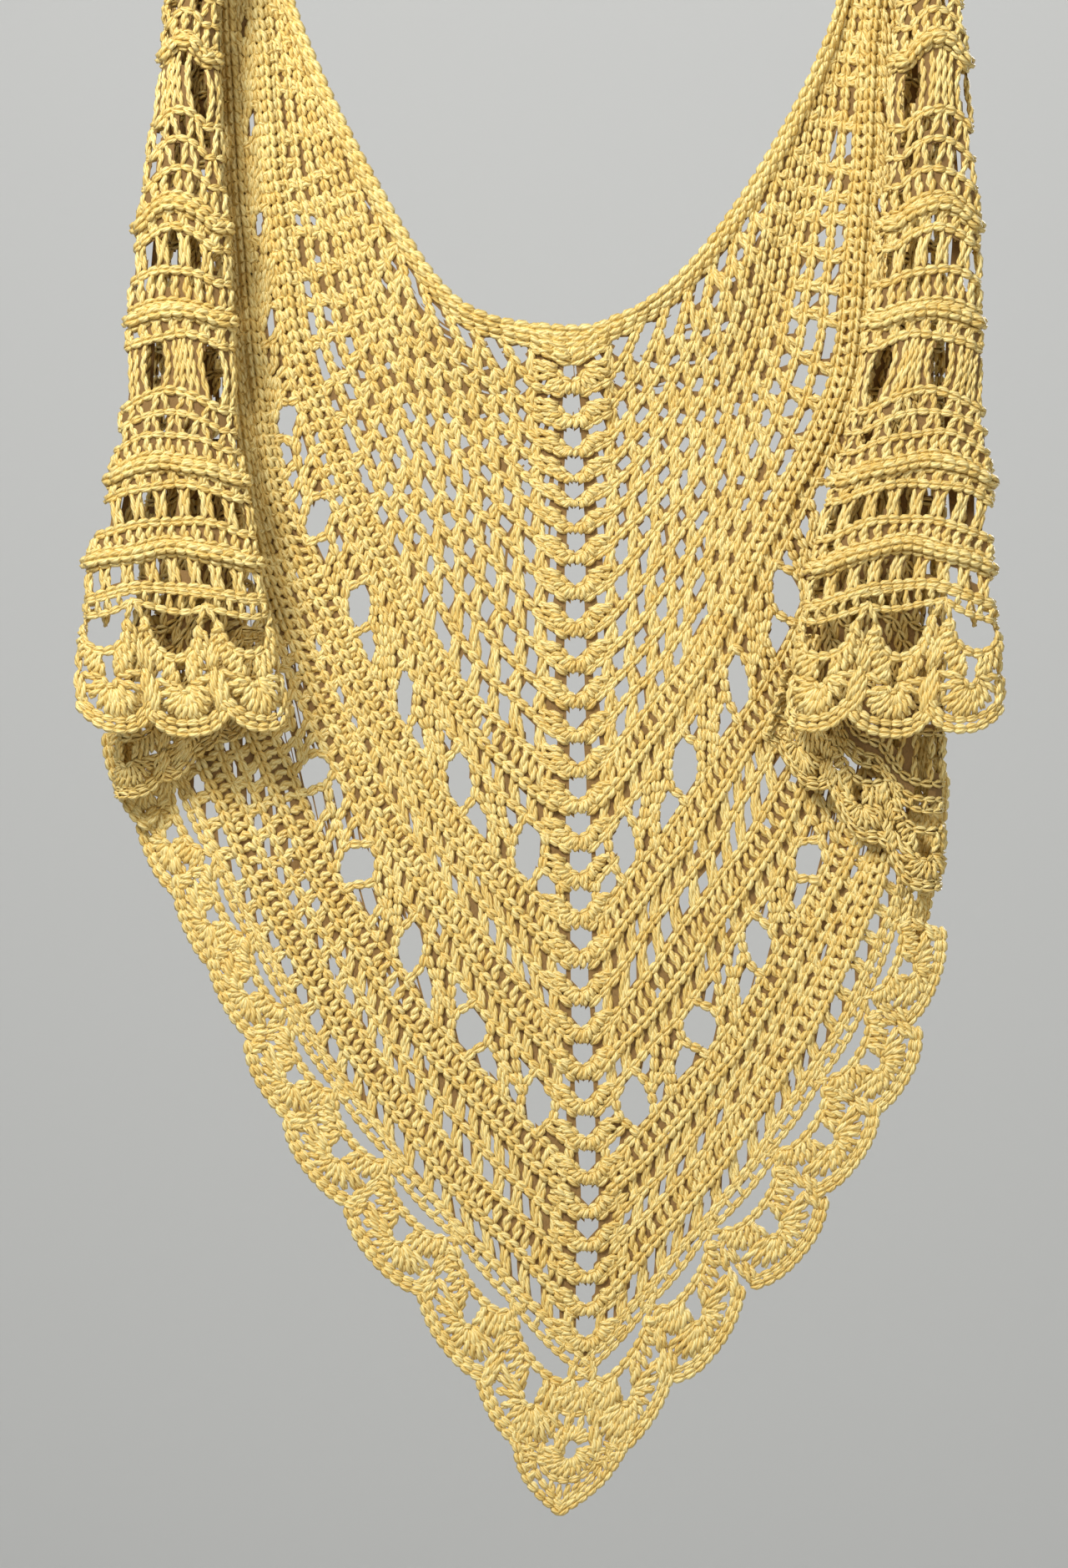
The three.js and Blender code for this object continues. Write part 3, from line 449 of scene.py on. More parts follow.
def saddle_patch(side, half, flap):
    """Grid over a hanging point, from the panel at the back to the flap in front."""
    rows = np.array([15.0, 22.0])
    back = np.sort(half.read(half.length(rows), rows)[0][:, 0] * SIDE_SIGN[side]) * SIDE_SIGN[side]
    front = [flap.points[0, 34, 0], flap.points[0, 86, 0]]
    angles = np.linspace(0.04, np.pi - 0.04, 31)[:, None]
    shares = np.linspace(0, 1, 31)
    along = angles / np.pi
    left = back[0] + (front[0] - back[0]) * along
    right = back[1] + (front[1] - back[1]) * along
    x = left + (right - left) * shares
    y = SADDLE_RADIUS * np.cos(angles) + 0 * x
    z = TOP_Z + SADDLE_RADIUS * np.sin(angles) + 0 * x
    return Patch(np.stack([x, y, z], axis=-1), angles[:, 0] * SADDLE_RADIUS, flip=side == "left")


class Yarn:
    """Strands of yarn on one stretch of cloth, gathered into one mesh."""

    def __init__(self, patch, sides=STRAND_SIDES):
        self.patch, self.sides = patch, sides
        self.runs = []

    def add(self, points, normals, radius):
        """Strands as points of shape strands by places by 3, in millimetres."""
        if len(points):
            radius = np.broadcast_to(radius, points.shape[:2])
            self.runs.append((points, normals, radius))

    def place(self, u, v, h):
        """Points in front of the cloth, and its normals."""
        points, normals = self.patch.read(u, v)
        return points + normals * np.asarray(h)[..., None], normals

    def twist(self, points, normals, spread=1.0, radius=STRAND_RADIUS):
        """Two strands twisted round each other along centre lines, one stroke of yarn a half turn."""
        count, places = points.shape[:2]
        tangent = unit(np.gradient(points, axis=1))
        side = unit(np.cross(tangent, normals))
        lift = unit(np.cross(side, tangent))
        length = np.linalg.norm(np.diff(points, axis=1), axis=2).sum(axis=1)
        turns = np.clip(length / (2 * STROKE), 0.5, (places - 1) / 4.5)[:, None]
        phase = RANDOM.uniform(-0.5, 0.5, (count, 1)) - turns * np.linspace(0, 1, places) * 2 * np.pi
        taper = 1 - 0.4 * np.abs(np.linspace(-1, 1, places)) ** 3
        for start in (0, np.pi):
            angle = (phase + start)[..., None]
            offset = side * np.cos(angle) + lift * np.sin(angle)
            self.add(points + offset * (spread * taper)[:, None], normals, radius)

    def strike(self, place, ends, height, rise, scatter, places, **shape):
        """Short posts between places, given by where they start and end and how far they bow."""
        u0, v0, u1, v1, bow = np.broadcast_arrays(
            *(np.atleast_1d(np.asarray(value, float)) for value in ends)
        )
        t = np.linspace(0, 1, places)
        arch = 4 * t * (1 - t)
        u = u0[:, None] + (u1 - u0)[:, None] * t + bow[:, None] * arch
        v = v0[:, None] + (v1 - v0)[:, None] * t
        h = height + rise * arch + RANDOM.uniform(-scatter, scatter, (len(u0), 1))
        self.twist(*place(u, v, h), **shape)

    def posts(self, u0, v0, u1, v1, bow=0.0, places=6, **shape):
        """Posts of two strands from one place on the cloth to another."""
        self.strike(self.place, (u0, v0, u1, v1, bow), 0.0, 0.7, 0.4, places, **shape)

    def links(self, starts, ends, normals, spread=1.2, radius=STRAND_RADIUS):
        """Chain links: two arms that leave one place, part, and close over the next."""
        along = ends - starts
        side = unit(np.cross(along, normals))
        for sign in (-1, 1):
            places = [
                starts + along * t + side * (sign * spread * out) + normals * up
                for t, out, up in LINK_SHAPE
            ]
            points = np.stack(places, axis=1)
            self.add(points, np.repeat(normals[:, None], len(LINK_SHAPE), axis=1), radius)

    def follow(self, place, u, v, height, scatter, pitch, **shape):
        """A crochet chain along a path through places."""
        u, v = (np.asarray(value, float) for value in np.broadcast_arrays(u, v))
        points, _ = place(u, v, np.zeros_like(u))
        line = np.concatenate([[0], np.cumsum(np.linalg.norm(np.diff(points, axis=0), axis=1))])
        at = np.linspace(0, line[-1], max(1, round(line[-1] / pitch)) + 1)
        h = height + RANDOM.uniform(-scatter, scatter, len(at))
        points, normals = place(np.interp(at, line, u), np.interp(at, line, v), h)
        self.links(points[:-1], points[1:], normals[:-1], **shape)

    def chain(self, u, v, height=0.0, pitch=STITCH, **shape):
        """A chain along a path on the cloth."""
        self.follow(self.place, u, v, height, 0.25, pitch, **shape)

    def row_chain(self, v, u0, u1, height=0.0, **shape):
        u1 = min(u1, self.patch.length(v) - 1)
        if u1 - u0 > 4:
            u = np.linspace(u0, u1, max(2, int((u1 - u0) / 2)))
            self.chain(u, v, height, **shape)

    def square_shift(self, u, v0, v1):
        """How far along the row a post moves so that it stands square to the row."""
        here, _ = self.patch.read(u, v0)
        there, _ = self.patch.read(u, v1)
        shift = -np.sum((there - here) * self.patch.tangent(u, v0), axis=-1)
        return np.clip(shift, -18, 18)

    def dense(self, v0, v1, u0, u1, lean=0.45, pitch=STITCH, edge=True):
        """A solid row of double crochet, with or without a chain on its outer edge."""
        u1 = min(u1, self.patch.length(v0) - 1, self.patch.length(v1) - 1)
        if u1 - u0 < 1:
            return
        count = max(1, round((u1 - u0) / pitch))
        u = u0 + (np.arange(count) + 0.5) * (u1 - u0) / count
        u = u + RANDOM.uniform(-0.5, 0.5, count)
        far = smoothstep(u, SQUARE_FROM, SQUARE_BY)
        shift = (lean + (1 - lean) * far) * smoothstep(u, 10, 50) * self.square_shift(u, v0, v1)
        shift = shift if lean else 0 * shift
        self.posts(u - shift / 2, v0, u + shift / 2, v1, places=5, **DENSE_POST)
        if edge:
            self.row_chain(v1, u0, u1, 0.7, **DENSE_EDGE)

    def mesh(self):
        """All strands as one mesh, in metres, with the strand's length and girth as its map."""
        sides = self.sides
        corners, loops, totals, maps = [], [], [], []
        first = 0
        girth = np.linspace(0, 2 * np.pi, sides, endpoint=False)
        for points, normals, radius in self.runs:
            count, places = points.shape[:2]
            tangent = unit(np.gradient(points, axis=1))
            up = unit(normals - tangent * np.sum(normals * tangent, axis=-1, keepdims=True))
            side = np.cross(tangent, up)
            thick = radius.copy()
            thick[:, [0, -1]] *= END_TAPER
            ring = up[:, :, None] * np.cos(girth)[:, None] + side[:, :, None] * np.sin(girth)[:, None]
            ring = points[:, :, None] + ring * thick[:, :, None, None]
            corners.append(ring.reshape(-1, 3))
            steps = np.linalg.norm(np.diff(points, axis=1), axis=2)
            line = np.concatenate([np.zeros((count, 1)), np.cumsum(steps, axis=1)], axis=1)
            line = line + RANDOM.uniform(0, PLY_PITCH, (count, 1))
            base = first + np.arange(count)[:, None, None] * places * sides
            k = np.arange(sides)
            nxt = (k + 1) % sides
            near = base + np.arange(places - 1)[:, None] * sides
            far = near + sides
            quads = np.stack([near + k, near + nxt, far + nxt, far + k], -1).reshape(-1, 4)
            along, ahead, around = (
                np.broadcast_to(part, (count, places - 1, sides))
                for part in (line[:, :-1, None], line[:, 1:, None], k / sides)
            )
            turned = around + 1 / sides
            quad_map = (along, around, along, turned, ahead, turned, ahead, around)
            maps.append(np.stack(quad_map, -1).reshape(-1, 2))
            head = base[:, 0] + np.arange(sides)[::-1]
            tail = base[:, 0] + (places - 1) * sides + np.arange(sides)
            caps = np.concatenate([head, tail])
            ends = np.broadcast_to(np.concatenate([line[:, :1], line[:, -1:]]), caps.shape)
            maps.append(np.stack([ends, np.zeros(caps.shape)], -1).reshape(-1, 2))
            for faces in (quads, caps):
                loops.append(faces.reshape(-1))
                totals.append(np.full(len(faces), faces.shape[1]))
            first += count * places * sides
        mesh = bpy.data.meshes.new("yarn")
        corners = np.concatenate(corners) * MM
        loops, totals = np.concatenate(loops), np.concatenate(totals)
        starts = np.cumsum(totals) - totals
        mesh.vertices.add(len(corners))
        mesh.vertices.foreach_set("co", corners.astype(np.float32).ravel())
        mesh.loops.add(len(loops))
        mesh.loops.foreach_set("vertex_index", loops.astype(np.int32))
        mesh.polygons.add(len(totals))
        mesh.polygons.foreach_set("loop_start", starts.astype(np.int32))
        mesh.polygons.foreach_set("loop_total", totals.astype(np.int32))
        mesh.polygons.foreach_set("use_smooth", np.ones(len(totals), bool))
        mesh.update(calc_edges=True)
        layer = mesh.uv_layers.new(name="strand")
        layer.data.foreach_set("uv", np.concatenate(maps).astype(np.float32).ravel())
        mesh.validate()
        return mesh

    def centres(self):
        """Points along every strand, for the sheet of painted shade to follow."""
        return np.concatenate([run[0].reshape(-1, 3) for run in self.runs])


def seam_row(yarn, v, u0, u1, height=0.0):
    """A braided ridge that stands proud of the cloth."""
    yarn.row_chain(v, u0, u1, height + 1.7, **RIDGE_CHAIN)


def net(yarn, first_row, last_row, start):
    """Rows of V stitches whose columns run down the cloth, with a gap between each two."""
    columns = np.arange(start + 5, yarn.patch.length(first_row) - 9, MESH_PITCH)
    for row in range(first_row, last_row):
        limit = yarn.patch.length(row + 1) - 11
        shift = smoothstep(columns, 70, 230) * yarn.square_shift(columns, row, row + 1)
        landed = columns + shift
        inside = landed < limit - 2
        base, top = columns[inside], landed[inside]
        lean = 2.9 + RANDOM.uniform(-0.6, 0.6, len(base))
        low = row + 0.96 + RANDOM.uniform(-0.05, 0.05, len(base))
        if len(base):
            for sign in (-1, 1):
                yarn.posts(base + sign * 0.7, row + 0.05, top + sign * lean, low, bow=-sign * 0.6,
                           places=5, **NET_POST)
        yarn.row_chain(row + 1, start - 2, limit, 0.3, **EVEN_CHAIN)
        columns = [top[0]] if len(top) else []
        while columns and columns[0] > start + 0.85 * MESH_PITCH + 5:
            columns.insert(0, columns[0] - MESH_PITCH)
        for value in top[1:]:
            gap = value - columns[-1]
            if gap > 1.55 * MESH_PITCH:
                columns.append(columns[-1] + gap / 2)
            if gap > 0.6 * MESH_PITCH:
                columns.append(value)
        columns = columns or [start + 5]
        while columns[-1] + MESH_PITCH < limit - 3:
            columns.append(columns[-1] + MESH_PITCH)
        columns = np.array(columns)


def eyelets(yarn, v0, v1, u0, u1, pitch=EYELET_PITCH, upright=False):
    """Pairs of posts that part at both ends, with a gap after each pair, and a chain below."""
    u1 = min(u1, yarn.patch.length(v0) - 4, yarn.patch.length(v1) - 4)
    if u1 - u0 < 3:
        return
    u = np.arange(u0, u1, pitch)
    u = u + RANDOM.uniform(-0.5, 0.5, len(u))
    square = 0 if upright else smoothstep(u, SQUARE_FROM, SQUARE_BY)
    shift = square * yarn.square_shift(u, v0, v1)
    for sign in (-1, 1):
        part = sign * min(2.6, 0.24 * pitch)
        yarn.posts(u + part - shift / 2, v0 - 0.04, u + part + shift / 2, v1 + 0.04, bow=-0.62 * part,
                   places=5, **EYELET_POST)
    yarn.row_chain(v1, u0 - 3, u1 + 2, 0.5, **EYELET_CHAIN)


def flowers(yarn, v0, v1, u0, u1):
    """A wide gap in each repeat, with a bar and smaller gaps at its sides."""
    u1 = min(u1, yarn.patch.length(v0) - 6, yarn.patch.length(v1) - 6)
    middle, half_depth = (v0 + v1) / 2, (v1 - v0) / 2
    t = np.linspace(0, 1, 13)
    for centre in np.arange(u0 + 17, u1, FLOWER_PITCH):
        lean = 1 - smoothstep(centre, SQUARE_FROM, SQUARE_BY)
        shift = (1 - lean) * yarn.square_shift(centre, v0, v1)

        def bar(path):
            """A chain through places given by u from the centre and by depth from -1 to 1."""
            path = np.array(path, float)
            knots = np.linspace(0, 1, len(path))
            w = np.interp(t, knots, path[:, 1])
            u = centre + np.interp(t, knots, path[:, 0]) + shift * w / 2
            if u0 - 4 <= u.min() and u.max() <= u1:
                yarn.chain(u, middle + w * half_depth, 0.6, **BAR_CHAIN)

        wide = 9.5 + 3.0 * lean
        bar([(-wide + 2, -1.05), (-wide, -0.6 * lean), (-wide + 3, 0.1), (-3, 0.66), (0.5, 1.05)])
        bar([(wide - 2, 1.05), (wide, 0.6 * lean), (wide - 3, -0.1), (3, -0.66), (-0.5, -1.05)])
        bar([(-wide, -0.35), (-wide - 4, -0.1), (-wide - 9, 0.05)])
        bar([(wide - 2, 0.3), (wide + 4, 0.1), (wide + 9, 0.0)])
        uprights = [(wide + 1, -1.05, 0.1), (wide + 8.5, -1.05, 1.05), (-wide - 7.5, 0.0, 1.05)]
        for a, top, low in uprights:
            bar([(a, top), (a + 0.8, (top + low) / 2), (a, low)])


class Motif:
    """A small figure of yarn: a runs along the row, b away from it, h in front of the cloth."""

    def __init__(self, yarn, place):
        self.yarn, self.place = yarn, place

    def rope(self, a, b, h=0.3, pitch=STITCH, **shape):
        """A chain along a path through the given places."""
        self.yarn.follow(self.place, a, b, h, 0.2, pitch, **shape)

    def strokes(self, a0, b0, a1, b1, h=0.4, bow=0.0, places=6, **shape):
        """Short posts from one row of places to another."""
        self.yarn.strike(self.place, (a0, b0, a1, b1, bow), h, 0.9, 0.3, places, **shape)

    def fan(self, centre, angles, inner, outer, h=0.4, **shape):
        """Strokes that spread from an eye at (0, centre), with angles in degrees from straight out."""
        angles = np.radians(np.asarray(angles, float))
        inner, outer = np.broadcast_to(inner, angles.shape), np.broadcast_to(outer, angles.shape)
        self.strokes(np.sin(angles) * inner, centre + np.cos(angles) * inner,
                     np.sin(angles) * outer, centre + np.cos(angles) * outer, h, **shape)


def flat_place(origin, along, out, normal):
    """Places on a flat piece of cloth."""
    def place(a, b, h):
        points = origin + a[..., None] * along + b[..., None] * out
        return points + h[..., None] * normal, np.broadcast_to(normal, points.shape)
    return place


def cloth_place(yarn, u, v, wide, deep):
    """Places that follow the cloth round its turns."""
    def place(a, b, h):
        return yarn.place(u + a * wide, v + b * deep, h)
    return place


def spine_shells(yarn, half, side):
    """Fans of double crochet that spread from a hole in each row of the spine."""
    angles = np.array([10.0, 27, 44, 60, 76, 90, 102])
    inner = np.array([5.2, 5.3, 5.5, 5.7, 5.9, 6.0, 6.1])
    sines, cosines = np.sin(np.radians(angles)), np.cos(np.radians(angles))
    slope = np.linspace(0, 1, 8)
    bend = np.radians([0, 30, 60, 85])
    for row in range(SPINE_ROWS):
        origin, normal = half.read(0.0, row)
        below, _ = half.read(0.0, row + 1.0)
        slope_end, _ = half.read(14.0, row + 1.0)
        out = unit(below - origin)
        pitch = np.linalg.norm(below - origin)
        along = np.array([SIDE_SIGN[side], 0.0, 0.0])
        edge = slope_end - below
        rise = np.dot(edge, -out) / max(1.0, np.dot(edge, along))
        motif = Motif(yarn, flat_place(origin, along, out, normal))
        reach = np.clip((pitch - 1.8) / (cosines + rise * sines), 7.5, 16.5)
        reach[0] = pitch - 5.2
        motif.fan(0.0, angles + RANDOM.uniform(-3, 3, len(angles)), inner, reach, 0.9, **SHELL_POST)
        motif.rope(3.8 + 12.3 * slope, pitch - 4.8 - rise * 12.3 * slope + 2.6 * slope, 0.7,
                   **SHELL_CHAIN)
        motif.rope(5.6 * np.sin(bend), 5.1 * np.cos(bend), 0.2, **SHELL_EYE)


def scallop(yarn, place, oval=6.8):
    """One scallop: an oval gap, a shell parted by an eye, a second shell and a chain edge.

    Its numbers are millimetres along the row and away from it, for SCALLOP_PITCH and EDGING_DEPTH.
    """
    motif = Motif(yarn, place)
    arc = np.linspace(-1, 1, 17)
    half_pitch = SCALLOP_PITCH / 2
    motif.rope(half_pitch * arc, 0.8 + 0.6 * arc**2, 0.4, **FINE)
    motif.rope(half_pitch * arc, 6.6 - 2.2 * arc**2, 0.3, **FINE)
    motif.strokes([-13, -6.5, 0, 6.5, 13], 1.0, [-12.6, -6.2, 0, 6.2, 12.6],
                  [4.8, 6.0, 6.6, 6.0, 4.8], 0.3, places=4, **FINE)
    motif.rope(14.5 * arc, 9.5 + oval * np.sqrt(np.maximum(0, 1 - arc**2)), 0.5, **BOLD)
    for sign in (-1, 1):
        motif.strokes(sign * half_pitch, 3.5, sign * 14.5, 9.5, 0.3, **FINE)
        motif.strokes(sign * 14.5, 9.5, sign * half_pitch, 15.5, 0.3, **FINE)
        motif.strokes(sign * np.array([half_pitch - 0.6, half_pitch - 3.4]), [14.5, 15.0],
                      sign * np.array([half_pitch - 0.8, half_pitch - 1.8]), [24.0, 25.0], 0.3, **FINE)
        motif.strokes(sign * np.array([half_pitch - 0.8, half_pitch - 3.2]), [24.5, 26.0],
                      sign * np.array([half_pitch - 0.6, half_pitch - 2.6]), [36.0, 37.0], 0.3, **BOLD)
    angles = np.array([17.0, 30, 43, 56, 69, 83])
    sines, cosines = np.sin(np.radians(angles)), np.cos(np.radians(angles))
    for sign in (-1, 1):
        motif.strokes(sign * 13.5 * sines, 9.5 + (oval + 0.6) * cosines, sign * (4 + 13.5 * sines),
                      10.5 + 17.5 * cosines, 0.6, places=6, **BOLD)
    motif.strokes([-5.4, 5.4], 10.7 + oval, [-3.6, 3.6], 27.0, 0.5, **BOLD)
    angles = np.linspace(-94, 94, 12)
    motif.fan(27.5, angles + RANDOM.uniform(-3, 3, 12), 3.0,
              12.6 + 3.6 * (1 - np.cos(np.radians(angles))), 0.5, **BOLD)
    bend = np.radians(np.linspace(-80, 80, 6))
    motif.rope(3.3 * np.sin(bend), 27.2 + 3.3 * np.cos(bend), 0.9, **FAN_EYE)
    edge = 7.5 * np.abs(arc) ** 2.6
    motif.rope(half_pitch * 0.98 * arc, 40.8 - edge, 0.4, **FINE)
    motif.rope(half_pitch * 1.04 * arc, 43.8 - edge, 0.5, **EVEN_CHAIN)


def edging(yarn, half):
    """The scallops along the lower edge of one half of the centre panel."""
    count = round(half.length(LAST_ROW) / SCALLOP_PITCH)
    pitch = (half.length(SEAM_ROW) + half.length(LAST_ROW)) / 2 / count
    for k in range(count):
        share = (k + 0.5) / count
        size = pitch * (1.22 - 0.14 * smoothstep(share, 0.3, 0.6))
        u = share * half.length(SEAM_ROW)
        origin, normal = half.read(u, SEAM_ROW)
        below, _ = half.read(share * half.length(LAST_ROW), LAST_ROW)
        along = half.tangent(u, SEAM_ROW)
        square = unit(np.cross(along, normal))
        reach = below - origin
        if np.dot(reach, square) < 0:
            square = -square
        depth = np.dot(reach, square)
        slant = np.dot(reach, along) / depth
        part = 0.6 * (1 - smoothstep(share, 0.05, 0.4)) + 0.35 * smoothstep(share, 0.6, 1.0)
        out = (square + part * slant * along) * 1.03 * depth / EDGING_DEPTH
        scallop(yarn, flat_place(origin, along * size / SCALLOP_PITCH, out, normal))


def tip(yarn):
    """The fan that joins the two edgings at the point of the shawl."""
    along, normal = np.array([1.0, 0.0, 0.0]), np.array([0.0, -1.0, 0.0])
    motif = Motif(yarn, flat_place(np.array(TIP_TOP), along, unit(np.array(TIP_OUT)), normal))
    for sign in (-1, 1):
        motif.strokes(sign * 2.0, 0.0, sign * 3.4, 11.0, 0.4, bow=sign * 1.6, **FINE)
        motif.strokes(sign * 3.6, 1.0, sign * 5.0, 13.0, 0.4, bow=sign * 0.6, **FINE)
    motif.fan(11.5, np.linspace(-66, 66, 9), 2.4, 14.5, 0.6, **TIP_POST)
    for sign in (-1, 1):
        motif.strokes(sign * np.array([6.0, 10.0, 14.0, 18.0, 21.5]), [18.0, 21, 24, 27, 29],
                      sign * np.array([11.5, 14.5, 17.5, 20.5, 22.5]), [31.0, 33, 35, 37, 39], 0.3,
                      **TIP_POST)
        motif.strokes(sign * np.array([14.0, 15.5, 15.0, 13.5]), [38.0, 42, 46, 50],
                      sign * np.array([21.5, 20.5, 18.5, 15.5]), [41.0, 46, 50, 54], 0.3, **TIP_POST)
    motif.strokes([-8, -3.2, 3.2, 8.5], 24.5, [-9.5, -2.4, 2.4, 10.5], 36.0, 0.4, **FINE)
    motif.rope(np.linspace(-12, 12, 9), 25.5 - 0.03 * np.linspace(-12, 12, 9) ** 2, 0.5, **FINE)
    motif.fan(40.0, np.linspace(128, 232, 7), 3.0, 9.5, 0.5, **TIP_POST)
    motif.fan(42.0, np.linspace(-98, 98, 13), 3.0, 12.0, 0.6, **TIP_POST)
    ring = np.radians(np.linspace(-110, 110, 16))
    motif.rope(12.6 * np.sin(ring), 42 + 12.6 * np.cos(ring), 0.6, **FINE)
    side_a = np.array([25, 24.0, 21.5, 16.5, 9.0, 3.6, 0])
    side_b = np.array([27, 36, 45.0, 54.0, 61.5, 65.5, 68.4])
    for sign in (-1, 1):
        motif.rope(sign * side_a, side_b, 0.6, **TIP_CHAIN)
        motif.rope(sign * (side_a * 0.8), side_b - 3.2, 0.4, **FINE)
    motif.strokes([-6, -2, 2, 6], [54.0, 56, 56, 54], [-4.4, -1.4, 1.4, 4.4], [60.5, 64, 64, 60.5],
                  0.4, **FINE)


def neck_border(yarn, half):
    """The thick edge that runs unbroken round the neck, three chains wide."""
    rows = np.arange(0.1, 14.9, 0.1)
    for inset, height, shape in NECK_CHAINS:
        edge_rows = rows[rows >= 0.1 + inset / 15]
        edge = half.length(edge_rows) - inset
        beyond = edge > 1.0
        u = np.concatenate([[0.0], edge[beyond]])
        v = np.concatenate([[edge_rows[beyond][0]], edge_rows[beyond]])
        yarn.chain(u, v, height, **shape)


def neck_middle(yarn, half):
    """The same edge where it passes the spine."""
    origin, normal = half.read(0.0, 0.0)
    across = np.array([1.0, 0.0, 0.0])
    motif = Motif(yarn, flat_place(origin, across, np.array([0.0, 0.0, -1.0]), normal))
    a = np.linspace(-15, 15, 9)
    for inset, height, shape in NECK_CHAINS:
        motif.rope(a, inset - 3.4 - 0.006 * a**2, height + 0.3, **shape)


def panel_net(half):
    """The net of one half of the centre panel, with the neck's edge."""
    yarn = Yarn(half)
    net(yarn, 1, LAST_MESH_ROW, SPINE_CLUSTER)
    yarn.row_chain(1, SPINE_CLUSTER, FAR, 0.5, **SHELL_CHAIN)
    neck_border(yarn, half)
    return yarn


def panel_bands(half):
    """The bands of one half of the centre panel, with the ridges between them."""
    yarn = Yarn(half)
    for kind, v0, v1 in BAND_CHART:
        if kind == "dense":
            yarn.dense(v0, v1, SPINE_SIDE, FAR, edge=False)
        elif kind == "flowers":
            flowers(yarn, v0, v1, SPINE_SIDE, FAR)
        elif kind == "chain":
            yarn.row_chain(v0, SPINE_SIDE, FAR, 0.3)
        else:
            pitch = SMALL_EYELET_PITCH if kind == "small" else EYELET_PITCH
            eyelets(yarn, v0, v1, SPINE_SIDE + 4, FAR, pitch)
    eyelets(yarn, 28.8, SEAM_ROW, SPINE_SIDE - 4, FAR, SEAM_EYELET_PITCH)
    for row in RIDGE_ROWS:
        seam_row(yarn, row, SPINE_SIDE - 2, FAR)
    return yarn


def level_rows(yarn, chart):
    """Level rows of a flap, from a chart of kinds and heights."""
    for kind, v0, v1 in chart:
        if kind == "dense":
            yarn.dense(v0, v1, 1, FAR, lean=0)
        elif kind == "ridge":
            seam_row(yarn, v0, 0.5, FAR, 0.9)
            yarn.row_chain(v0 - 1.5, 0.5, FAR, 0.9)
            yarn.row_chain(v0 + 2.4, 0.5, FAR, 0.3)
        elif kind == "eyelets":
            eyelets(yarn, v0, v1, 4, FAR, FLAP_EYELET_PITCH, upright=True)
        elif kind == "small":
            eyelets(yarn, v0, v1, 3, FAR, FLAP_SMALL_PITCH, upright=True)
        elif kind == "net":
            level_net(yarn, v0, v1)
        elif kind == "flowers":
            level_flowers(yarn, v0, v1)


def level_net(yarn, v0, v1):
    """V stitches in level rows, whose columns shift from row to row."""
    rows = max(1, round((v1 - v0) / FLAP_NET_ROW))
    for k in range(rows):
        top, low = (v0 + (v1 - v0) * (k + part) / rows for part in (0, 1))
        end = yarn.patch.length(top) - 4
        columns = np.arange(5 + (k % 2) * 4, end, FLAP_NET_PITCH)
        for sign in (-1, 1):
            yarn.posts(columns + sign * 0.7, top, columns + sign * 3.2, low, **FINE)
        yarn.row_chain(low, 1, FAR, 0.3, **FINE)


def level_flowers(yarn, v0, v1):
    """Wide gaps between bowed posts in one level row, with a chain below."""
    end = yarn.patch.length((v0 + v1) / 2) - 3
    for centre in np.arange(13, end, FLAP_FLOWER_PITCH):
        for offset, bow in FLAP_FLOWER_POSTS:
            for sign in (-1, 1):
                u = centre + sign * offset
                if 1 < u < end:
                    yarn.posts(u, v0, u - sign * 1.2, v1, bow=sign * bow, places=10, **FINE)
    yarn.row_chain(v1, 1, FAR, 0.3)


def simple_rows(yarn, rows):
    """Plainer rows for the hidden stretches: bands and eyelets in turn."""
    for k, (v0, v1) in enumerate(zip(rows[:-1], rows[1:])):
        if k % 3 == 1:
            eyelets(yarn, v0 + 0.3, v1, 4, FAR, FLAP_EYELET_PITCH, upright=True)
        else:
            yarn.dense(v0 + 0.3, v1, 1, FAR, lean=0, pitch=HIDDEN_STITCH, edge=k % 3 == 0)


def hanging_scallops(yarn, drop, pitch, depths, **shape):
    """Scallops along a hem that hangs straight down, with the given depths in turn."""
    total = yarn.patch.length(drop)
    count = max(2, round(total / pitch))
    for k in range(count):
        depth = depths[k % len(depths)]
        place = cloth_place(yarn, (k + 0.5) * total / count, drop,
                            total / count / SCALLOP_PITCH, depth / EDGING_DEPTH)
        scallop(yarn, place, **shape)


def plain_material(name, values):
    """A material with the given values on its shader's own sockets."""
    material = bpy.data.materials.new(name)
    material.use_nodes = True
    shader = material.node_tree.nodes["Principled BSDF"]
    for socket, value in values.items():
        shader.inputs[socket].default_value = value
    return material, material.node_tree, shader


def add_math(tree, operation, source, value=None):
    """A math node fed by a socket, with a fixed second value if it needs one."""
    node = tree.nodes.new("ShaderNodeMath")
    node.operation = operation
    tree.links.new(source, node.inputs[0])
    if value is not None:
        node.inputs[1].default_value = value
    return node


def add_ramp(tree, source, colours, stops=(0.0, 1.0)):
    """A ramp of two colours fed by a socket."""
    node = tree.nodes.new("ShaderNodeValToRGB")
    for element, colour, stop in zip(node.color_ramp.elements, colours, stops):
        element.color = colour
        element.position = stop
    tree.links.new(source, node.inputs[0])
    return node


def add_bump(tree, shader, source, strength):
    bump = tree.nodes.new("ShaderNodeBump")
    bump.inputs["Strength"].default_value = strength
    bump.inputs["Distance"].default_value = BUMP_DISTANCE
    tree.links.new(source, bump.inputs["Height"])
    tree.links.new(bump.outputs["Normal"], shader.inputs["Normal"])


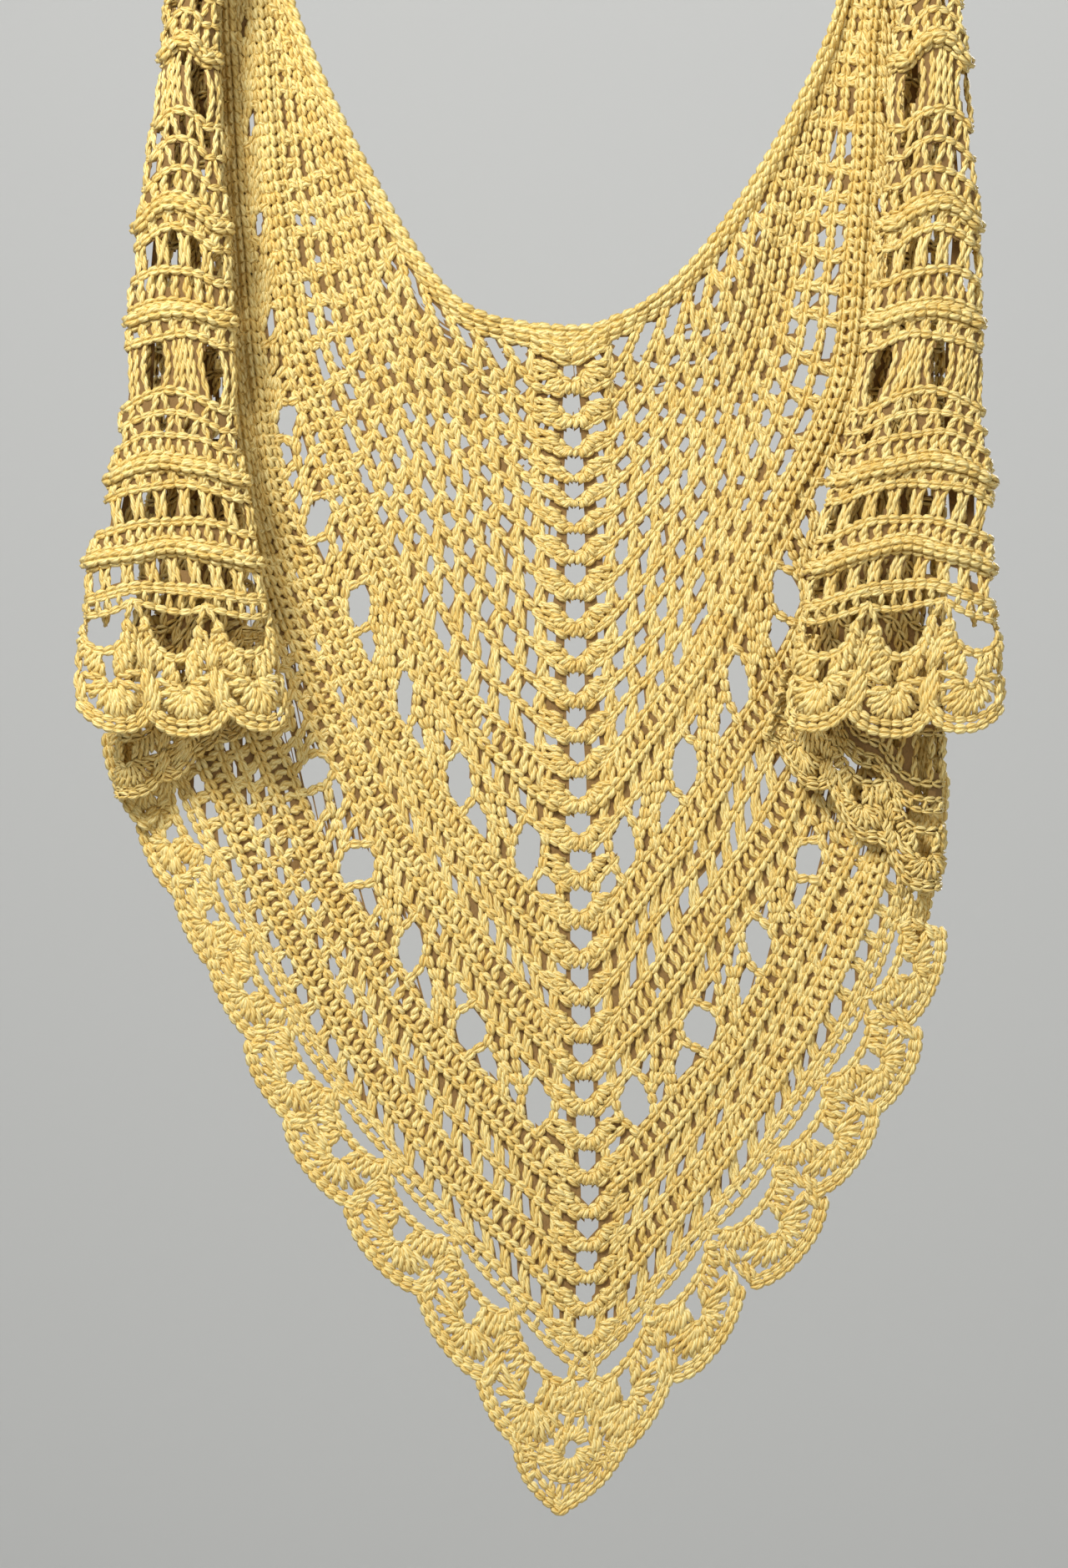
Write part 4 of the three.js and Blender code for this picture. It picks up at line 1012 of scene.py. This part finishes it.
def yarn_material():
    """Plied cotton with a soft gloss: slanted plies with painted shade in the crevices between them, and
    a tone that differs by strand.
    """
    material, tree, shader = plain_material("golden_yarn", GLOSS)
    nodes, links = tree.nodes, tree.links
    strand = nodes.new("ShaderNodeUVMap")
    strand.uv_map = "strand"
    split = nodes.new("ShaderNodeSeparateXYZ")
    links.new(strand.outputs["UV"], split.inputs[0])
    along = add_math(tree, "DIVIDE", split.outputs["X"], PLY_PITCH)
    around = add_math(tree, "MULTIPLY_ADD", split.outputs["Y"], PLY_SLANT)
    links.new(along.outputs[0], around.inputs[2])
    turned = add_math(tree, "MULTIPLY", around.outputs[0], math.pi)
    sine = add_math(tree, "SINE", turned.outputs[0])
    ply = add_math(tree, "ABSOLUTE", sine.outputs[0])
    add_bump(tree, shader, ply.outputs[0], PLY_BUMP)
    island = nodes.new("ShaderNodeNewGeometry")
    tone = nodes.new("ShaderNodeMixRGB")
    tone.inputs[1].default_value, tone.inputs[2].default_value = YARN_TONES
    links.new(island.outputs["Random Per Island"], tone.inputs[0])
    # Painted shade: a darker colour where the ply bump is low, in the crevices between plies
    shade = add_ramp(tree, ply.outputs[0], PAINTED_PLY_SHADES, PAINTED_PLY_SHADE_STOPS)
    mix = nodes.new("ShaderNodeMixRGB")
    mix.blend_type = "MULTIPLY"
    mix.inputs[0].default_value = 1.0
    links.new(tone.outputs[0], mix.inputs[1])
    links.new(shade.outputs[0], mix.inputs[2])
    links.new(mix.outputs[0], shader.inputs["Base Color"])
    return material


def painted_shade_material():
    """Painted shade: a dark colour for the shaded inside of the stitches and the gaps between them."""
    material, tree, shader = plain_material("painted_shade_yarn", {"Roughness": PAINTED_SHADE_ROUGHNESS})
    noise = tree.nodes.new("ShaderNodeTexNoise")
    noise.inputs["Scale"].default_value = NOISE_SCALE
    # Painted shade: dark tones for the shaded gaps and insides of the stitches
    ramp = add_ramp(tree, noise.outputs["Fac"], PAINTED_SHADE_TONES)
    tree.links.new(ramp.outputs[0], shader.inputs["Base Color"])
    add_bump(tree, shader, noise.outputs["Fac"], PAINTED_SHADE_BUMP)
    return material


def painted_shade_faces(patch, centres, row_range, reach):
    """Small faces of a thin dark sheet of painted shade wherever yarn passes close by."""
    tree = kdtree.KDTree(len(centres))
    for i, centre in enumerate(centres):
        tree.insert(centre, i)
    tree.balance()
    v0, v1 = row_range
    columns = int(patch.lengths.max() / PAINTED_SHADE_CELL)
    heights = np.linalg.norm(np.diff(patch.points, axis=0), axis=2).mean(axis=1)
    per_row = heights.mean() / np.diff(patch.rows).mean()
    rows = max(2, int((v1 - v0) * per_row / PAINTED_SHADE_CELL))
    vs = np.linspace(v0, v1, rows + 1)
    lengths = patch.length(vs)
    read = [patch.read(np.linspace(0, length, columns + 1), v) for v, length in zip(vs, lengths)]
    grid = np.stack([points + PAINTED_SHADE_HEIGHT * normals for points, normals in read])
    near = np.array([[tree.find(point)[2] < reach for point in line] for line in grid])
    i, j = np.nonzero(near[:-1, :-1] & near[:-1, 1:] & near[1:, :-1] & near[1:, 1:])
    upper = i * (columns + 1) + j
    lower = upper + columns + 1
    return grid.reshape(-1, 3), np.stack([upper, upper + 1, lower + 1, lower], axis=-1)


def painted_shade_mesh(sheets):
    """One mesh of all the thin sheets of painted shade, with only the points that faces use."""
    points, polygons, first = [], [], 0
    for corners, faces in sheets:
        used = np.unique(faces)
        renumber = np.zeros(len(corners), int)
        renumber[used] = np.arange(len(used)) + first
        points.append(corners[used])
        polygons.append(renumber[faces])
        first += len(used)
    mesh = bpy.data.meshes.new("painted_shade_sheet")
    points = np.concatenate(points) * MM
    mesh.from_pydata(points.tolist(), [], np.concatenate(polygons).tolist())
    mesh.update()
    return mesh


def put(name, data):
    """An object in the scene for a mesh, a light or a camera."""
    made = bpy.data.objects.new(name, data)
    bpy.context.scene.collection.objects.link(made)
    return made


def make_object(name, mesh, material, nodes):
    piece = put(name, mesh)
    mesh.materials.append(material)
    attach(piece, "root")
    if nodes:
        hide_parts(*nodes)
    return piece


def build_shawl():
    yarn_look, painted_shade_look = yarn_material(), painted_shade_material()
    halves = {side: centre_half(side) for side in SIDE_SIGN}
    stitches, sheets = [], []

    def finish(name, yarn, *nodes):
        stitches.append(make_object(name, yarn.mesh(), yarn_look, nodes))

    def cover(patch, yarns, last_row, kind):
        """A thin sheet of painted shade from a patch's first row to its last, wherever yarn passes close
        by.
        """
        centres = np.concatenate([yarn.centres() for yarn in yarns])
        row_range = (patch.rows[0], last_row)
        sheets.append(painted_shade_faces(patch, centres, row_range, PAINTED_SHADE_REACH[kind]))

    for side, half in halves.items():
        gauze, bands = panel_net(half), panel_bands(half)
        shells, border = Yarn(half), Yarn(half)
        spine_shells(shells, half, side)
        edging(border, half)
        if side == "left":
            tip(border)
            neck_middle(shells, half)
        finish(f"yarn_net_{side}", gauze, f"panel_{side}")
        finish(f"yarn_bands_{side}", bands)
        finish(f"yarn_spine_{side}", shells, *(["spine"] if side == "left" else []))
        finish(f"yarn_edging_{side}", border, f"edging_{side}")
        cover(half, [gauze, bands, shells, border], SEAM_ROW + 0.2, "panel")

        flap = flap_patch(side)
        front, lower = Yarn(flap), Yarn(flap)
        level_rows(front, FLAP_CHART)
        finish(f"yarn_flap_{side}", front, f"flap_{side}")
        level_rows(lower, FLAP_EDGING_CHART)
        hanging_scallops(lower, FLAP_HEM_DROP, FLAP_SCALLOP, FLAP_HEM_DEPTHS, oval=FLAP_OVAL)
        finish(f"yarn_flap_edging_{side}", lower, f"flap_edging_{side}")
        cover(flap, [front, lower], FLAP_HEM_DROP, "flap")

        fold = fold_patch(side, half)
        wing, saddle = wing_patch(side), saddle_patch(side, half, flap)
        hem = fold.rows[-1] - FOLD_HEM_DEPTH
        for name, patch, rows, last_row in (
            ("fold", fold, np.arange(1, hem, HIDDEN_ROW), hem),
            ("wing", wing, np.arange(wing.rows[0], wing.rows[-1], HIDDEN_ROW), wing.rows[-1] - WING_TIP),
            ("saddle", saddle, np.arange(saddle.rows[0], saddle.rows[-1], SADDLE_ROW), saddle.rows[-1]),
        ):
            yarn = Yarn(patch, HIDDEN_SIDES)
            simple_rows(yarn, rows)
            if name == "fold":
                hanging_scallops(yarn, hem, FOLD_SCALLOP, [FOLD_HEM_DEPTH])
            finish(f"yarn_{name}_{side}", yarn, f"{name}_{side}")
            cover(patch, [yarn], last_row, name)

    # The sheet of painted shade in the gaps between the stitches
    painted_shade_sheet = make_object("cloth_painted_shade", painted_shade_mesh(sheets), painted_shade_look, [])


def add_stage():
    """A pale floor, a far pale backdrop and soft lights."""
    plain, _, _ = plain_material("pale_stage", {"Base Color": STAGE_COLOUR, "Roughness": 0.9})
    r, low, high = STAGE_REACH, FLOOR_Z, BACKDROP_TOP
    for name, corners in (
        ("floor", [(-r, -r, low), (r, -r, low), (r, r, low), (-r, r, low)]),
        ("backdrop", [(-r, r, low), (r, r, low), (r, r, high), (-r, r, high)]),
    ):
        mesh = bpy.data.meshes.new(name)
        mesh.from_pydata(corners, [], [(0, 1, 2, 3)])
        mesh.materials.append(plain)
        plane = put(name, mesh)
    world = bpy.data.worlds.new("studio")
    world.use_nodes = True
    background = world.node_tree.nodes["Background"]
    background.inputs["Color"].default_value = AIR_COLOUR
    background.inputs["Strength"].default_value = AIR_STRENGTH
    bpy.context.scene.world = world
    bpy.context.scene.view_settings.view_transform = "Standard"
    for name, place, size, power, aim in LIGHTS:
        light = bpy.data.lights.new(name, "AREA")
        light.size = size
        light.energy = power
        lamp = put(name, light)
        lamp.location = place
        lamp.rotation_euler = (Vector(aim) - Vector(place)).to_track_quat("-Z", "Y").to_euler()


def add_camera():
    """The photograph's level view of the shawl from straight in front."""
    camera = bpy.data.cameras.new("camera")
    camera.sensor_fit = "VERTICAL"
    camera.sensor_height = SENSOR_HEIGHT
    camera.lens = LENS
    distance = FRAME_HEIGHT * LENS / SENSOR_HEIGHT
    viewer = put("camera", camera)
    viewer.location = (FRAME_X, BEARING_Y * MM - distance, FRAME_Z)
    viewer.rotation_euler = (math.pi / 2, 0, 0)
    bpy.context.scene.camera = viewer


build_shawl()
add_stage()
add_camera()
